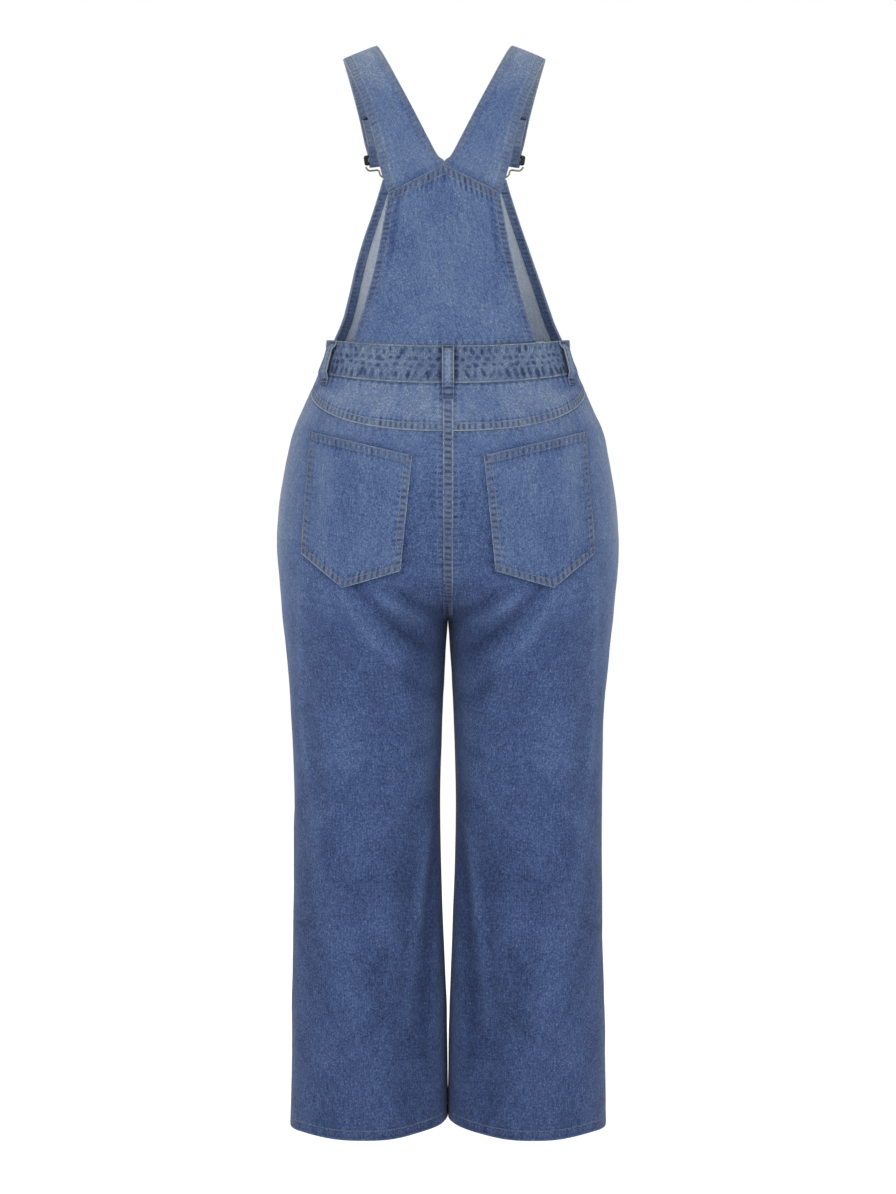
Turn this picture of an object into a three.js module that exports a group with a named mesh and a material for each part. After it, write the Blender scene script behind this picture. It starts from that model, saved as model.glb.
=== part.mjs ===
// Denim dungarees with wide legs, in the hollow form that they keep when worn.
// Millimetres, +Z up. The wearer faces -Y and has the left side at +X.
// The origin is the height where the straps rest on the shoulders, on the middle line.

import * as THREE from 'three';

// Cloth thicknesses and seams
const DENIM = 1.5;
const STRAP_THICKNESS = 2.4;
const SEAM = 0.3;
const HEM_EXTRA = 1.4;

// How far each layer's outer side stands off the outer side of the leg panels
const YOKE_OUT = 0.6;
const BAND_OUT = 1.6;

// Exponent of every ring: 2 is an ellipse, more is squarer
const ROUNDNESS = 2.3;

// Heights
const HEM_Z = -1352;
const HEM_INNER_RISE = 14.5;
const HEM_OUTER_RISE = 5;
const HEM_DEPTH = 13;
const CROTCH_Z = -714;
const BIB_TOP_Z = -156;
const CHEVRON_PEAK_Z = -154;
const CHEVRON_END_Z = -188;

// The bib and the straps hang a little towards the wearer's left
const LEAN = 4.5;
const LEAN_FROM_Z = -366;
const LEAN_TO_Z = -220;

// The cloth from the chest to the hem.
// half: half the width over both sides. lobe: 0 is one oval round both sides, 1 is a leg of its own.
// gap: half the space between the legs. front, back: how far the cloth stands off the side seams.
const OUTLINE = [
  { z: -120, half: 176, lobe: 0, gap: 0, front: 127, back: 104 },
  { z: -250, half: 160, lobe: 0, gap: 0, front: 129, back: 110 },
  { z: -330, half: 151, lobe: 0, gap: 0, front: 125, back: 116 },
  { z: -376, half: 150.3, lobe: 0, gap: 0, front: 122, back: 119 },
  { z: -395, half: 156.6, lobe: 0, gap: 0, front: 124, back: 123 },
  { z: -414, half: 164, lobe: 0, gap: 0, front: 126, back: 129 },
  { z: -432, half: 172.2, lobe: 0, gap: 0, front: 129, back: 135 },
  { z: -451, half: 180.4, lobe: 0, gap: 0, front: 132, back: 141 },
  { z: -470, half: 189, lobe: 0.02, gap: 0, front: 135, back: 147 },
  { z: -488, half: 194.9, lobe: 0.05, gap: 0, front: 137, back: 152 },
  { z: -526, half: 202.6, lobe: 0.12, gap: 0, front: 139, back: 159 },
  { z: -563, half: 209, lobe: 0.2, gap: 0, front: 139, back: 163 },
  { z: -600, half: 212.3, lobe: 0.31, gap: 0, front: 136, back: 163 },
  { z: -630, half: 212.6, lobe: 0.43, gap: 0, front: 131, back: 160 },
  { z: -657, half: 211, lobe: 0.58, gap: 0, front: 125, back: 155 },
  { z: -685, half: 208.6, lobe: 0.79, gap: 0, front: 119, back: 147 },
  { z: -702, half: 207.2, lobe: 0.93, gap: 0, front: 115.5, back: 141.5 },
  { z: -714, half: 206, lobe: 1, gap: 0, front: 113, back: 138 },
  { z: -751, half: 201.8, lobe: 1, gap: 2.8, front: 109, back: 127 },
  { z: -801, half: 196.8, lobe: 1, gap: 5.4, front: 105, back: 117 },
  { z: -877, half: 193.2, lobe: 1, gap: 8.3, front: 101, back: 106 },
  { z: -950, half: 192, lobe: 1, gap: 9.6, front: 98, back: 100 },
  { z: -1066, half: 193, lobe: 1, gap: 7, front: 96, back: 96 },
  { z: -1142, half: 194, lobe: 1, gap: 3.8, front: 95, back: 95 },
  { z: -1217, half: 195.6, lobe: 1, gap: 1.2, front: 94, back: 94 },
  { z: -1293, half: 197, lobe: 1, gap: 0.1, front: 93, back: 93 },
  { z: -1352, half: 197.4, lobe: 1, gap: 0.1, front: 92, back: 92 },
];

// Soft folds of the leg panels.
// face: 1 is the back and -1 the front. turn: 0 is at the side seam and 1 at the centre seam or the inseam.
// spread: the fold's half width in turns. height: millimetres, negative for a trough.
const FOLDS = [
  { side: 1, face: 1, turn: 0.7, spread: 0.1, height: -5, top: -840, bottom: -1400 },
  { side: 1, face: 1, turn: 0.5, spread: 0.1, height: 3, top: -900, bottom: -1400 },
  { side: 1, face: 1, turn: 0.24, spread: 0.07, height: -2.5, top: -640, bottom: -1200 },
  { side: -1, face: 1, turn: 0.68, spread: 0.11, height: -5, top: -860, bottom: -1400 },
  { side: -1, face: 1, turn: 0.46, spread: 0.1, height: 3, top: -960, bottom: -1400 },
  { side: -1, face: 1, turn: 0.25, spread: 0.07, height: -2.5, top: -620, bottom: -1160 },
  { side: 1, face: -1, turn: 0.64, spread: 0.11, height: -5, top: -800, bottom: -1400 },
  { side: 1, face: -1, turn: 0.3, spread: 0.09, height: -3, top: -900, bottom: -1400 },
  { side: -1, face: -1, turn: 0.66, spread: 0.1, height: -5, top: -830, bottom: -1400 },
  { side: -1, face: -1, turn: 0.32, spread: 0.09, height: -3, top: -860, bottom: -1400 },
];

// Half widths of the back panel and of the bib
const BACK_EDGE = [
  { z: -154, half: 61 },
  { z: -188, half: 68.4 },
  { z: -258, half: 81.3 },
  { z: -315, half: 96 },
  { z: -366, half: 112 },
];
const BIB_EDGE = [
  { z: -156, half: 79 },
  { z: -178, half: 85.4 },
  { z: -253, half: 110 },
  { z: -335, half: 133.4 },
  { z: -362, half: 143.5 },
];

// The strap from the chevron seam over the shoulder to the slide, one row across it at a time.
// y: at the neck edge. drop: how much nearer the front the arm edge lies. crown: how far the middle stands proud.
const STRAP = [
  { neckX: 0.15, neckZ: -153.7, armX: 68.4, armZ: -187.6, y: 105, drop: 7, crown: 1.6 },
  { neckX: 0.7, neckZ: -148.6, armX: 73, armZ: -175, y: 105, drop: 8, crown: 1.5 },
  { neckX: 8, neckZ: -142.5, armX: 77, armZ: -161.5, y: 104.8, drop: 9, crown: 1.3 },
  { neckX: 19.8, neckZ: -121, armX: 80.8, armZ: -145, y: 103, drop: 9, crown: 1.2 },
  { neckX: 34.2, neckZ: -93, armX: 86.5, armZ: -120, y: 98.5, drop: 9, crown: 1 },
  { neckX: 46.6, neckZ: -69, armX: 93.5, armZ: -94, y: 91, drop: 8, crown: 1 },
  { neckX: 57.6, neckZ: -48, armX: 101, armZ: -72.5, y: 80, drop: 7, crown: 1 },
  { neckX: 68, neckZ: -27.5, armX: 109.5, armZ: -51, y: 62, drop: 6, crown: 1 },
  { neckX: 78, neckZ: -8.5, armX: 119.3, armZ: -29, y: 35, drop: 4, crown: 1 },
  { neckX: 84, neckZ: 0, armX: 125.4, armZ: -17, y: 4, drop: 0, crown: 1 },
  { neckX: 84, neckZ: -4.5, armX: 124.6, armZ: -20.5, y: -28, drop: -3, crown: 1 },
  { neckX: 79, neckZ: -21, armX: 120, armZ: -36, y: -58, drop: -5, crown: 0.8 },
  { neckX: 72, neckZ: -46, armX: 113.8, armZ: -58.5, y: -87, drop: -5, crown: 0.6 },
  { neckX: 64.4, neckZ: -75, armX: 107.2, armZ: -85, y: -109, drop: -5, crown: 0.4 },
  { neckX: 58.3, neckZ: -104, armX: 101.5, armZ: -112.5, y: -120.5, drop: -5, crown: 0.2 },
];
const STRAP_END_HALF = 22;
const TAIL_ROWS = 2;

// Slide, wire hook and button at the end of a strap
const BUTTON_X = 70;
const BUTTON_Z = -164;
const HOOK_LENGTH = 36;
const HOOK_TILT = 0.14;
const WIRE_RADIUS = 1.2;
const WIRE_SIDES = 6;
const WIRE_STEPS = 44;
const SLIDE_HALF = 28.5;
const SLIDE_HEIGHT = 13;
const SLIDE_THICKNESS = 2.2;
const SLIDE_RAIL = 3.2;
const SHANK_RADIUS = 3.5;
const CAP_RADIUS = 8.5;
const CAP_THICKNESS = 2.6;
const BUTTON_SIDES = 14;
const CLEAR_SHANK = 2 * WIRE_RADIUS + 2 * SEAM;
const SIDE_SHANK = 1.2;

// Half of the hook's wire, from below the slide's end to the bottom of the ring round the button
const HOOK_WIRE = [
  { across: 27.2, down: 8.1 },
  { across: 26.6, down: 10.2 },
  { across: 24, down: 13 },
  { across: 19.5, down: 13.7 },
  { across: 13, down: 13.8 },
  { across: 10.8, down: 16 },
  { across: 10, down: 20.5 },
  { across: 6.8, down: 23.8 },
  { across: 4.6, down: 26.4 },
  { across: 5.6, down: 29.6 },
  { across: 7.5, down: 34.5 },
  { across: 6.3, down: 40 },
  { across: 2.9, down: 43 },
];

// Back pocket, by its corners on one side of the back
const POCKET = {
  topInner: { x: 43, z: -508 },
  topOuter: { x: 167.6, z: -479 },
  bottomOuter: { x: 178, z: -626.5 },
  point: { x: 127.7, z: -667.5 },
  bottomInner: { x: 57.4, z: -646.5 },
};
const POCKET_POINT_AT = 0.42;
const POCKET_THICKNESS = 1.6;
const POCKET_CLEAR = 0.6;

// Belt loops. x: middle at the top end. lean: how far the lower end lies further out.
// foot: length of the end that is sewn to the yoke.
const LOOPS = [
  { name: 'belt_loop_back', x: 0, lean: 0, top: -374, bottom: -437, foot: 13 },
  { name: 'belt_loop_left', x: 138, lean: 14, top: -367, bottom: -422, foot: 9 },
  { name: 'belt_loop_right', x: -138, lean: -14, top: -367, bottom: -422, foot: 9 },
];
const LOOP_HALF = 7.5;
const LOOP_THICKNESS = 2;
const LOOP_STAND = 4;
const LOOP_HEAD = 5;

// Felled seam down the middle of the seat
const FELL = { half: 6.5, middle: 0.02, longestMitre: 1.6, top: -440, bottom: -690, thickness: 1.1 };

// Side buttons on the front panels, near the side seams
const SIDE_BUTTONS = [
  { name: 'upper', turn: 0.2, z: -386, out: BAND_OUT },
  { name: 'lower', turn: 0.2, z: -438, out: 0 },
];

// Colours
const denim = (color) => new THREE.MeshStandardMaterial({ color, roughness: 0.9, metalness: 0 });
const MID_DENIM = 0x4f6590;
const LIGHT_DENIM = 0x647ca6;
const brass = () => new THREE.MeshStandardMaterial({ color: 0x8f8672, roughness: 0.38, metalness: 1 });
const blackMetal = () => new THREE.MeshStandardMaterial({ color: 0x17171a, roughness: 0.4, metalness: 0.6 });
const wireMetal = () => new THREE.MeshStandardMaterial({ color: 0x8b8880, roughness: 0.3, metalness: 1 });

const group = new THREE.Group();

function addPiece(name, geometry, material) {
  const mesh = new THREE.Mesh(geometry, material);
  mesh.name = name;
  group.add(mesh);
  return mesh;
}

const clamp = THREE.MathUtils.clamp;
const lerp = THREE.MathUtils.lerp;
const sideName = (side) => (side > 0 ? 'left' : 'right');

// A smooth curve through one column of a table whose rows go down in z
function valueAt(rows, z, column) {
  const last = rows.length - 1;
  if (z >= rows[0].z) return rows[0][column];
  if (z <= rows[last].z) return rows[last][column];
  const i = rows.findIndex((row, k) => k < last && z <= row.z && z > rows[k + 1].z);
  const slope = (k) => {
    const above = rows[Math.max(k - 1, 0)];
    const below = rows[Math.min(k + 1, last)];
    return (below[column] - above[column]) / (below.z - above.z);
  };
  const span = rows[i + 1].z - rows[i].z;
  const t = (z - rows[i].z) / span;
  const a = rows[i][column];
  const b = rows[i + 1][column];
  return (2 * t ** 3 - 3 * t ** 2 + 1) * a + (t ** 3 - 2 * t ** 2 + t) * span * slope(i)
    + (3 * t ** 2 - 2 * t ** 3) * b + (t ** 3 - t ** 2) * span * slope(i + 1);
}

const power = (value, exponent) => Math.sign(value) * Math.abs(value) ** exponent;

// One side's ring at a height: its middle and its half width, its depth on one face, and the angle where
// it reaches the middle line of the garment or, on a leg, the inseam
function ringAt(face, z) {
  const half = valueAt(OUTLINE, z, 'half');
  const lobe = z <= CROTCH_Z ? 1 : clamp(valueAt(OUTLINE, z, 'lobe'), 0, 1);
  const gap = z >= CROTCH_Z ? 0 : Math.max(valueAt(OUTLINE, z, 'gap'), 0);
  const depth = valueAt(OUTLINE, z, face > 0 ? 'back' : 'front');
  const wide = (half - gap) / (1 + lobe);
  return { middle: half - wide, wide, depth, last: Math.acos(-(lobe ** (ROUNDNESS / 2))) };
}

function ringPoint(side, face, turn, z) {
  const ring = ringAt(face, z);
  const angle = turn * ring.last;
  const x = ring.middle + ring.wide * power(Math.cos(angle), 2 / ROUNDNESS);
  const y = ring.depth * power(Math.max(Math.sin(angle), 0), 2 / ROUNDNESS);
  return new THREE.Vector3(side * (SEAM / 2 + Math.max(x, 0)), face * (SEAM / 2 + y), z);
}

// The turn at which a ring passes a distance x from the middle line
function turnAt(face, x, z) {
  const ring = ringAt(face, z);
  const part = clamp((x - SEAM / 2 - ring.middle) / ring.wide, -1, 1);
  return clamp(Math.acos(power(part, ROUNDNESS / 2)) / ring.last, 0, 1);
}

function leanAt(z) {
  return LEAN * THREE.MathUtils.smoothstep(z, LEAN_FROM_Z, LEAN_TO_Z);
}

function foldAt(side, face, turn, z) {
  let height = 0;
  for (const fold of FOLDS) {
    if (fold.side !== side || fold.face !== face || z > fold.top || z < fold.bottom) continue;
    const across = Math.exp(-(((turn - fold.turn) / fold.spread) ** 2));
    const down = Math.sin((Math.PI / 2) * clamp((fold.top - z) / 250, 0, 1));
    const up = Math.sin((Math.PI / 2) * clamp((z - fold.bottom) / 50, 0, 1));
    height += fold.height * across * down * up;
  }
  return height;
}

// A point on the cloth, moved out from the outer side of its panel
function clothPoint(side, face, turn, z, out) {
  const step = 0.01;
  const before = ringPoint(side, face, Math.max(turn - step, 0), z);
  const after = ringPoint(side, face, Math.min(turn + step, 1), z);
  const above = ringPoint(side, face, turn, z + 1);
  const below = ringPoint(side, face, turn, z - 1);
  const normal = after.sub(before).cross(above.sub(below)).normalize();
  const point = ringPoint(side, face, turn, z);
  const ring = ringAt(face, z);
  const away = new THREE.Vector3(point.x - side * ring.middle, point.y, 0);
  if (normal.dot(away) < 0) normal.negate();
  point.addScaledVector(normal, out + foldAt(side, face, turn, z));
  point.x += leanAt(z);
  return point;
}

// The same, found by its distance from the middle line
function clothPointAtX(face, x, z, out) {
  return clothPoint(x < 0 ? -1 : 1, face, turnAt(face, Math.abs(x), z), z, out);
}

// The same, found a short way along the ring from there, towards the side seam when the way is positive
function clothPointBeside(face, x, way, z, out) {
  const side = x < 0 ? -1 : 1;
  const turn = turnAt(face, Math.abs(x), z);
  const step = 0.01;
  const speed = ringPoint(side, face, turn, z).distanceTo(ringPoint(side, face, turn - step, z)) / step;
  const moved = turn - way / speed;
  return moved > 1 ? clothPoint(-side, face, 2 - moved, z, out) : clothPoint(side, face, moved, z, out);
}

// A closed wall between an outer and an inner grid of points
function wallGeometry(outer, inner) {
  const rows = outer.length;
  const columns = outer[0].length;
  const points = [...outer.flat(), ...inner.flat()];
  const outerAt = (r, c) => r * columns + c;
  const innerAt = (r, c) => rows * columns + r * columns + c;
  const index = [];
  const quad = (a, b, c, d) => index.push(a, b, c, a, c, d);
  for (let r = 0; r < rows - 1; r++) {
    for (let c = 0; c < columns - 1; c++) {
      quad(outerAt(r, c), outerAt(r + 1, c), outerAt(r + 1, c + 1), outerAt(r, c + 1));
      quad(innerAt(r, c), innerAt(r, c + 1), innerAt(r + 1, c + 1), innerAt(r + 1, c));
    }
  }
  for (let c = 0; c < columns - 1; c++) {
    quad(outerAt(0, c), outerAt(0, c + 1), innerAt(0, c + 1), innerAt(0, c));
    quad(outerAt(rows - 1, c), innerAt(rows - 1, c), innerAt(rows - 1, c + 1), outerAt(rows - 1, c + 1));
  }
  for (let r = 0; r < rows - 1; r++) {
    quad(outerAt(r, 0), innerAt(r, 0), innerAt(r + 1, 0), outerAt(r + 1, 0));
    quad(outerAt(r, columns - 1), outerAt(r + 1, columns - 1), innerAt(r + 1, columns - 1), innerAt(r, columns - 1));
  }
  return closedGeometry(points, index);
}

// Turns the faces out where the enclosed volume comes out negative
function closedGeometry(points, index) {
  let volume = 0;
  for (let i = 0; i < index.length; i += 3) {
    const [a, b, c] = [points[index[i]], points[index[i + 1]], points[index[i + 2]]];
    volume += a.dot(b.clone().cross(c));
  }
  if (volume < 0) {
    for (let i = 0; i < index.length; i += 3) [index[i + 1], index[i + 2]] = [index[i + 2], index[i + 1]];
  }
  const geometry = new THREE.BufferGeometry();
  geometry.setAttribute('position', new THREE.Float32BufferAttribute(points.flatMap((p) => p.toArray()), 3));
  geometry.setIndex(index);
  geometry.computeVertexNormals();
  return geometry;
}

// A wall over rows and columns, where place(row, column, out) gives a point and thickness(row, column) the wall
function wall(rows, columns, place, out, thickness) {
  const grid = (offset) => rows.map((row) => columns.map((column) => place(row, column, offset(row, column))));
  return wallGeometry(grid(() => out), grid((row, column) => out - thickness(row, column)));
}

const steps = (count) => Array.from({ length: count + 1 }, (_, i) => i / count);
const plainWall = (thickness) => () => thickness;

// Edges of the waistband and the seam below the yoke
const across = (turn) => Math.sin((turn * Math.PI) / 2) ** 2;
const bandTop = (face, turn) => (face > 0 ? -364.5 - 9.5 * across(turn) : -364.5 + 1.5 * across(turn));
const bandBottom = (face, turn) => (face > 0 ? -406 - 14 * across(turn) : -406 - 4 * across(turn));
const yokeSeam = (turn) => -424 - 54 * Math.sin((turn * Math.PI) / 2) ** 1.15;
const hemAt = (turn) => HEM_Z + HEM_INNER_RISE * THREE.MathUtils.smoothstep(turn, 0.5, 1)
  + HEM_OUTER_RISE * (1 - THREE.MathUtils.smoothstep(turn, 0.18, 0.45));

// Heights of the rows of a leg panel from the seat down
const LEG_LEVELS = [-556, -588, -618, -643, -664, -682, -697, -707, CROTCH_Z, -726, -745, -775, -815, -860,
  -910, -965, -1020, -1080, -1140, -1200, -1260, -1310];
const LEG_COLUMNS = 12;
const SEAT_ROWS = 4;

function legPanel(side, face) {
  const top = (turn) => (face > 0 ? yokeSeam(turn) - SEAM : bandBottom(face, turn) - SEAM);
  const upper = steps(face > 0 ? SEAT_ROWS : SEAT_ROWS + 2).slice(0, -1);
  const heights = [
    ...upper.map((part) => (turn) => lerp(top(turn), LEG_LEVELS[0], part)),
    ...LEG_LEVELS.map((level) => () => level),
    (turn) => hemAt(turn) + HEM_DEPTH + 1,
    (turn) => hemAt(turn) + HEM_DEPTH,
    hemAt,
  ];
  const place = (row, turn, out) => clothPoint(side, face, turn, heights[row](turn), out);
  const turnedUp = (row) => DENIM + (row >= heights.length - 2 ? HEM_EXTRA : 0);
  return wall([...heights.keys()], steps(LEG_COLUMNS), place, 0, turnedUp);
}

function yoke(side) {
  const place = (part, turn, out) => {
    const z = lerp(bandBottom(1, turn) - SEAM, yokeSeam(turn), part);
    return clothPoint(side, 1, turn, z, out);
  };
  return wall(steps(3), steps(LEG_COLUMNS), place, YOKE_OUT, plainWall(DENIM + YOKE_OUT));
}

const BAND_ROWS = 5;
const BAND_COLUMNS = 12;

// One half of the waistband runs from side seam to side seam over the middle
function waistband(face) {
  const columns = [
    ...steps(BAND_COLUMNS).map((turn) => ({ side: 1, turn })),
    ...steps(BAND_COLUMNS).slice(0, -1).reverse().map((turn) => ({ side: -1, turn })),
  ];
  const place = (part, { side, turn }, out) => {
    const z = lerp(bandTop(face, turn), bandBottom(face, turn), part);
    return clothPoint(side, face, turn, z, out);
  };
  return wall(steps(BAND_ROWS), columns, place, BAND_OUT, plainWall(DENIM + BAND_OUT));
}

// The back panel and the bib: a middle of even columns, and a turned hem along each side and, on the bib, the top
function upperPanel(face, edge, topAt, hem, rowParts, topHem) {
  const middle = steps(8).map((part) => ({ part: 2 * part - 1, fromHem: 1 }));
  const hemColumns = (sign) => [{ part: sign, fromHem: 0 }, { part: sign, fromHem: -hem }];
  const columns = [...hemColumns(-1).reverse(), ...middle, ...hemColumns(1)];
  const place = (row, { part, fromHem }, out) => {
    const guess = lerp(edge[0].z, edge[edge.length - 1].z, rowParts[row]);
    const half = valueAt(edge, guess, 'half');
    const x = part * (half - hem) - Math.sign(part) * (fromHem > 0 ? Math.abs(part) : fromHem);
    const turn = turnAt(face, Math.abs(x), bandTop(face, 1));
    const z = lerp(topAt(x), bandTop(face, turn) + SEAM, rowParts[row]);
    return clothPointAtX(face, x, z, out);
  };
  const thickness = (row, { fromHem }) => DENIM + (fromHem <= 0 || rowParts[row] <= topHem ? HEM_EXTRA : 0);
  return wall([...rowParts.keys()], columns, place, 0, thickness);
}

function backPanel() {
  const end = valueAt(BACK_EDGE, CHEVRON_END_Z, 'half');
  const topAt = (x) => lerp(CHEVRON_PEAK_Z, CHEVRON_END_Z, Math.min(Math.abs(x) / end, 1)) - SEAM;
  const edge = BACK_EDGE.slice(1);
  return upperPanel(1, edge, topAt, 12, steps(9), -1);
}

function bib() {
  const hem = 15;
  const hemPart = hem / (BIB_TOP_Z - bandTop(-1, 1));
  const rowParts = [0, hemPart, hemPart + 0.005, ...steps(8).slice(1).map((part) => lerp(hemPart, 1, part))];
  return upperPanel(-1, BIB_EDGE, () => BIB_TOP_Z, hem, rowParts, hemPart);
}

function pocket(side) {
  const { topInner, topOuter, bottomOuter, point, bottomInner } = POCKET;
  const bottom = (part) => {
    if (part <= 1 - POCKET_POINT_AT) {
      const t = part / (1 - POCKET_POINT_AT);
      return { x: lerp(bottomInner.x, point.x, t), z: lerp(bottomInner.z, point.z, t) };
    }
    const t = (part - (1 - POCKET_POINT_AT)) / POCKET_POINT_AT;
    return { x: lerp(point.x, bottomOuter.x, t), z: lerp(point.z, bottomOuter.z, t) };
  };
  const columns = [0, 0.12, 0.24, 0.36, 0.47, 1 - POCKET_POINT_AT, 0.68, 0.79, 0.9, 1];
  const place = (down, part, out) => {
    const low = bottom(part);
    const x = lerp(lerp(topInner.x, topOuter.x, part), low.x, down);
    const z = lerp(lerp(topInner.z, topOuter.z, part), low.z, down);
    return clothPointAtX(1, side * x, z, out);
  };
  return wall(steps(8), columns, place, POCKET_CLEAR + POCKET_THICKNESS, plainWall(POCKET_THICKNESS));
}

// A belt loop: its head lies on the waistband, its middle stands off it and its foot lies on the yoke
function beltLoop({ x, lean, top, bottom, foot }) {
  const length = top - bottom;
  const stations = [
    { down: 0, off: BAND_OUT + SEAM },
    { down: LOOP_HEAD, off: BAND_OUT + SEAM },
    { down: LOOP_HEAD + 5, off: BAND_OUT + LOOP_STAND },
    { down: length / 2, off: BAND_OUT + LOOP_STAND + 0.4 },
    { down: length - foot - 6, off: BAND_OUT + LOOP_STAND },
    { down: length - foot, off: YOKE_OUT + SEAM + 0.2 },
    { down: length, off: YOKE_OUT + SEAM },
  ];
  const place = ({ down, off }, acrossPart, out) => {
    const middle = x + lean * (down / length);
    return clothPointBeside(1, middle, acrossPart * LOOP_HALF, top - down, off + out);
  };
  return wall(stations, [-1, -0.5, 0, 0.5, 1], place, LOOP_THICKNESS, plainWall(LOOP_THICKNESS));
}

// Its rows lie level with those of the leg panels. Its middle is mitred in the cleft between the two sides.
function centreBackSeam() {
  const seamZ = yokeSeam(1);
  const seat = steps(SEAT_ROWS).slice(1, -1).map((part) => lerp(seamZ - SEAM, LEG_LEVELS[0], part));
  const levels = [seamZ - 4, ...seat, ...LEG_LEVELS.filter((z) => z > FELL.bottom)];
  const onYoke = steps(2).map((part) => ({ z: lerp(FELL.top, seamZ, part), off: YOKE_OUT + SEAM }));
  const onSeat = levels.map((z) => ({ z, off: SEAM }));
  const place = ({ z, off }, part, out) => {
    const point = clothPointAtX(1, part * FELL.half, z, off + out);
    if (Math.abs(part) > FELL.middle) return point;
    const base = clothPointAtX(1, part * FELL.half, z, 0);
    const way = point.sub(base).setX(0);
    const mitre = Math.min((off + out) / way.length(), FELL.longestMitre);
    return base.addScaledVector(way, mitre * mitre);
  };
  const parts = [-1, -FELL.middle, FELL.middle, 1];
  return wall([...onYoke, ...onSeat], parts, place, FELL.thickness, plainWall(FELL.thickness));
}

// Where a strap ends: the button on the bib, and the frame of the hook and the slide above it
function hookFrame(side) {
  const seat = clothPointAtX(-1, side * BUTTON_X, BUTTON_Z, 0);
  const out = clothPointAtX(-1, side * BUTTON_X, BUTTON_Z, 1).sub(seat).normalize();
  const below = clothPointAtX(-1, side * BUTTON_X, BUTTON_Z - 10, 0).sub(seat).normalize();
  const level = out.clone().cross(below).normalize().multiplyScalar(-side);
  if (level.x * side < 0) level.negate();
  const down = below.clone().addScaledVector(level, -HOOK_TILT).normalize();
  const outward = level.clone().addScaledVector(down, -level.dot(down)).normalize();
  const ring = seat.clone().addScaledVector(out, SEAM + WIRE_RADIUS + SEAM / 2);
  const slide = ring.clone().addScaledVector(down, -HOOK_LENGTH);
  return { seat, out, down, outward, slide };
}

// Rows across the strap: its two edges, the way out of the cloth there, and the crown of its middle
function strapSections(side) {
  const frame = hookFrame(side);
  const layer = SLIDE_THICKNESS / 2 + SEAM + STRAP_THICKNESS / 2;
  const table = STRAP.map((row) => ({
    neck: new THREE.Vector3(side * row.neckX + leanAt(row.neckZ), row.y, row.neckZ),
    arm: new THREE.Vector3(side * row.armX + leanAt(row.neckZ), row.y - row.drop, row.armZ),
    crown: row.crown,
  }));
  const atSlide = (down, angle) => {
    const out = frame.out.clone().multiplyScalar(Math.cos(angle)).addScaledVector(frame.down, Math.sin(angle));
    const middle = frame.slide.clone().addScaledVector(frame.down, down).addScaledVector(out, layer);
    return {
      neck: middle.clone().addScaledVector(frame.outward, -STRAP_END_HALF),
      arm: middle.clone().addScaledVector(frame.outward, STRAP_END_HALF),
      crown: 0,
      out,
    };
  };
  const slideTop = atSlide(-SLIDE_HEIGHT / 2, 0);
  const rows = [...table, slideTop];
  const middleOf = (row) => row.neck.clone().add(row.arm).multiplyScalar(0.5);
  table.forEach((row, i) => {
    const along = middleOf(rows[i + 1]).sub(middleOf(rows[Math.max(i - 1, 0)]));
    row.out = row.arm.clone().sub(row.neck).cross(along).multiplyScalar(-side).normalize();
  });
  const bend = steps(4).map((part) => atSlide(SLIDE_HEIGHT / 2 - SEAM, Math.PI * part));
  const tail = [slideTop, ...table.slice(-TAIL_ROWS).reverse()].map((row) => ({
    neck: row.neck.clone().addScaledVector(row.out, -2 * layer),
    arm: row.arm.clone().addScaledVector(row.out, -2 * layer),
    crown: row.crown,
    out: row.out.clone().negate(),
  }));
  return [...rows, ...bend, ...tail];
}

function strap(side) {
  const sections = strapSections(side);
  const place = ({ neck, arm, crown, out: direction }, part, out) => {
    const crowned = crown * 4 * part * (1 - part);
    return neck.clone().lerp(arm, part).addScaledVector(direction, crowned + out);
  };
  return wall(sections, steps(4), place, STRAP_THICKNESS / 2, plainWall(STRAP_THICKNESS));
}

function frameMatrix({ outward, down, out }, origin) {
  return new THREE.Matrix4().makeBasis(outward, down, out).setPosition(origin);
}

function slide(side) {
  const frame = hookFrame(side);
  const rounded = (shape, halfX, halfY, radius) => {
    shape.moveTo(halfX - radius, -halfY);
    shape.absarc(halfX - radius, -halfY + radius, radius, -Math.PI / 2, 0, false);
    shape.absarc(halfX - radius, halfY - radius, radius, 0, Math.PI / 2, false);
    shape.absarc(-halfX + radius, halfY - radius, radius, Math.PI / 2, Math.PI, false);
    shape.absarc(-halfX + radius, -halfY + radius, radius, Math.PI, 1.5 * Math.PI, false);
    return shape;
  };
  const outline = rounded(new THREE.Shape(), SLIDE_HALF, SLIDE_HEIGHT / 2, 3);
  outline.holes.push(rounded(new THREE.Path(), SLIDE_HALF - SLIDE_RAIL, SLIDE_HEIGHT / 2 - SLIDE_RAIL, 1.2));
  const geometry = new THREE.ExtrudeGeometry(outline, {
    depth: SLIDE_THICKNESS, bevelEnabled: false, curveSegments: 4,
  });
  geometry.translate(0, 0, -SLIDE_THICKNESS / 2);
  return orient(geometry, frameMatrix(frame, frame.slide));
}

// Places a geometry by a matrix, and turns its faces back out where the matrix mirrors it
function orient(geometry, matrix) {
  geometry.applyMatrix4(matrix);
  if (matrix.determinant() > 0) return geometry;
  const position = geometry.getAttribute('position');
  const index = geometry.index ? Array.from(geometry.index.array) : [...Array(position.count).keys()];
  for (let i = 0; i < index.length; i += 3) [index[i + 1], index[i + 2]] = [index[i + 2], index[i + 1]];
  geometry.setIndex(index);
  return geometry;
}

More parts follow.
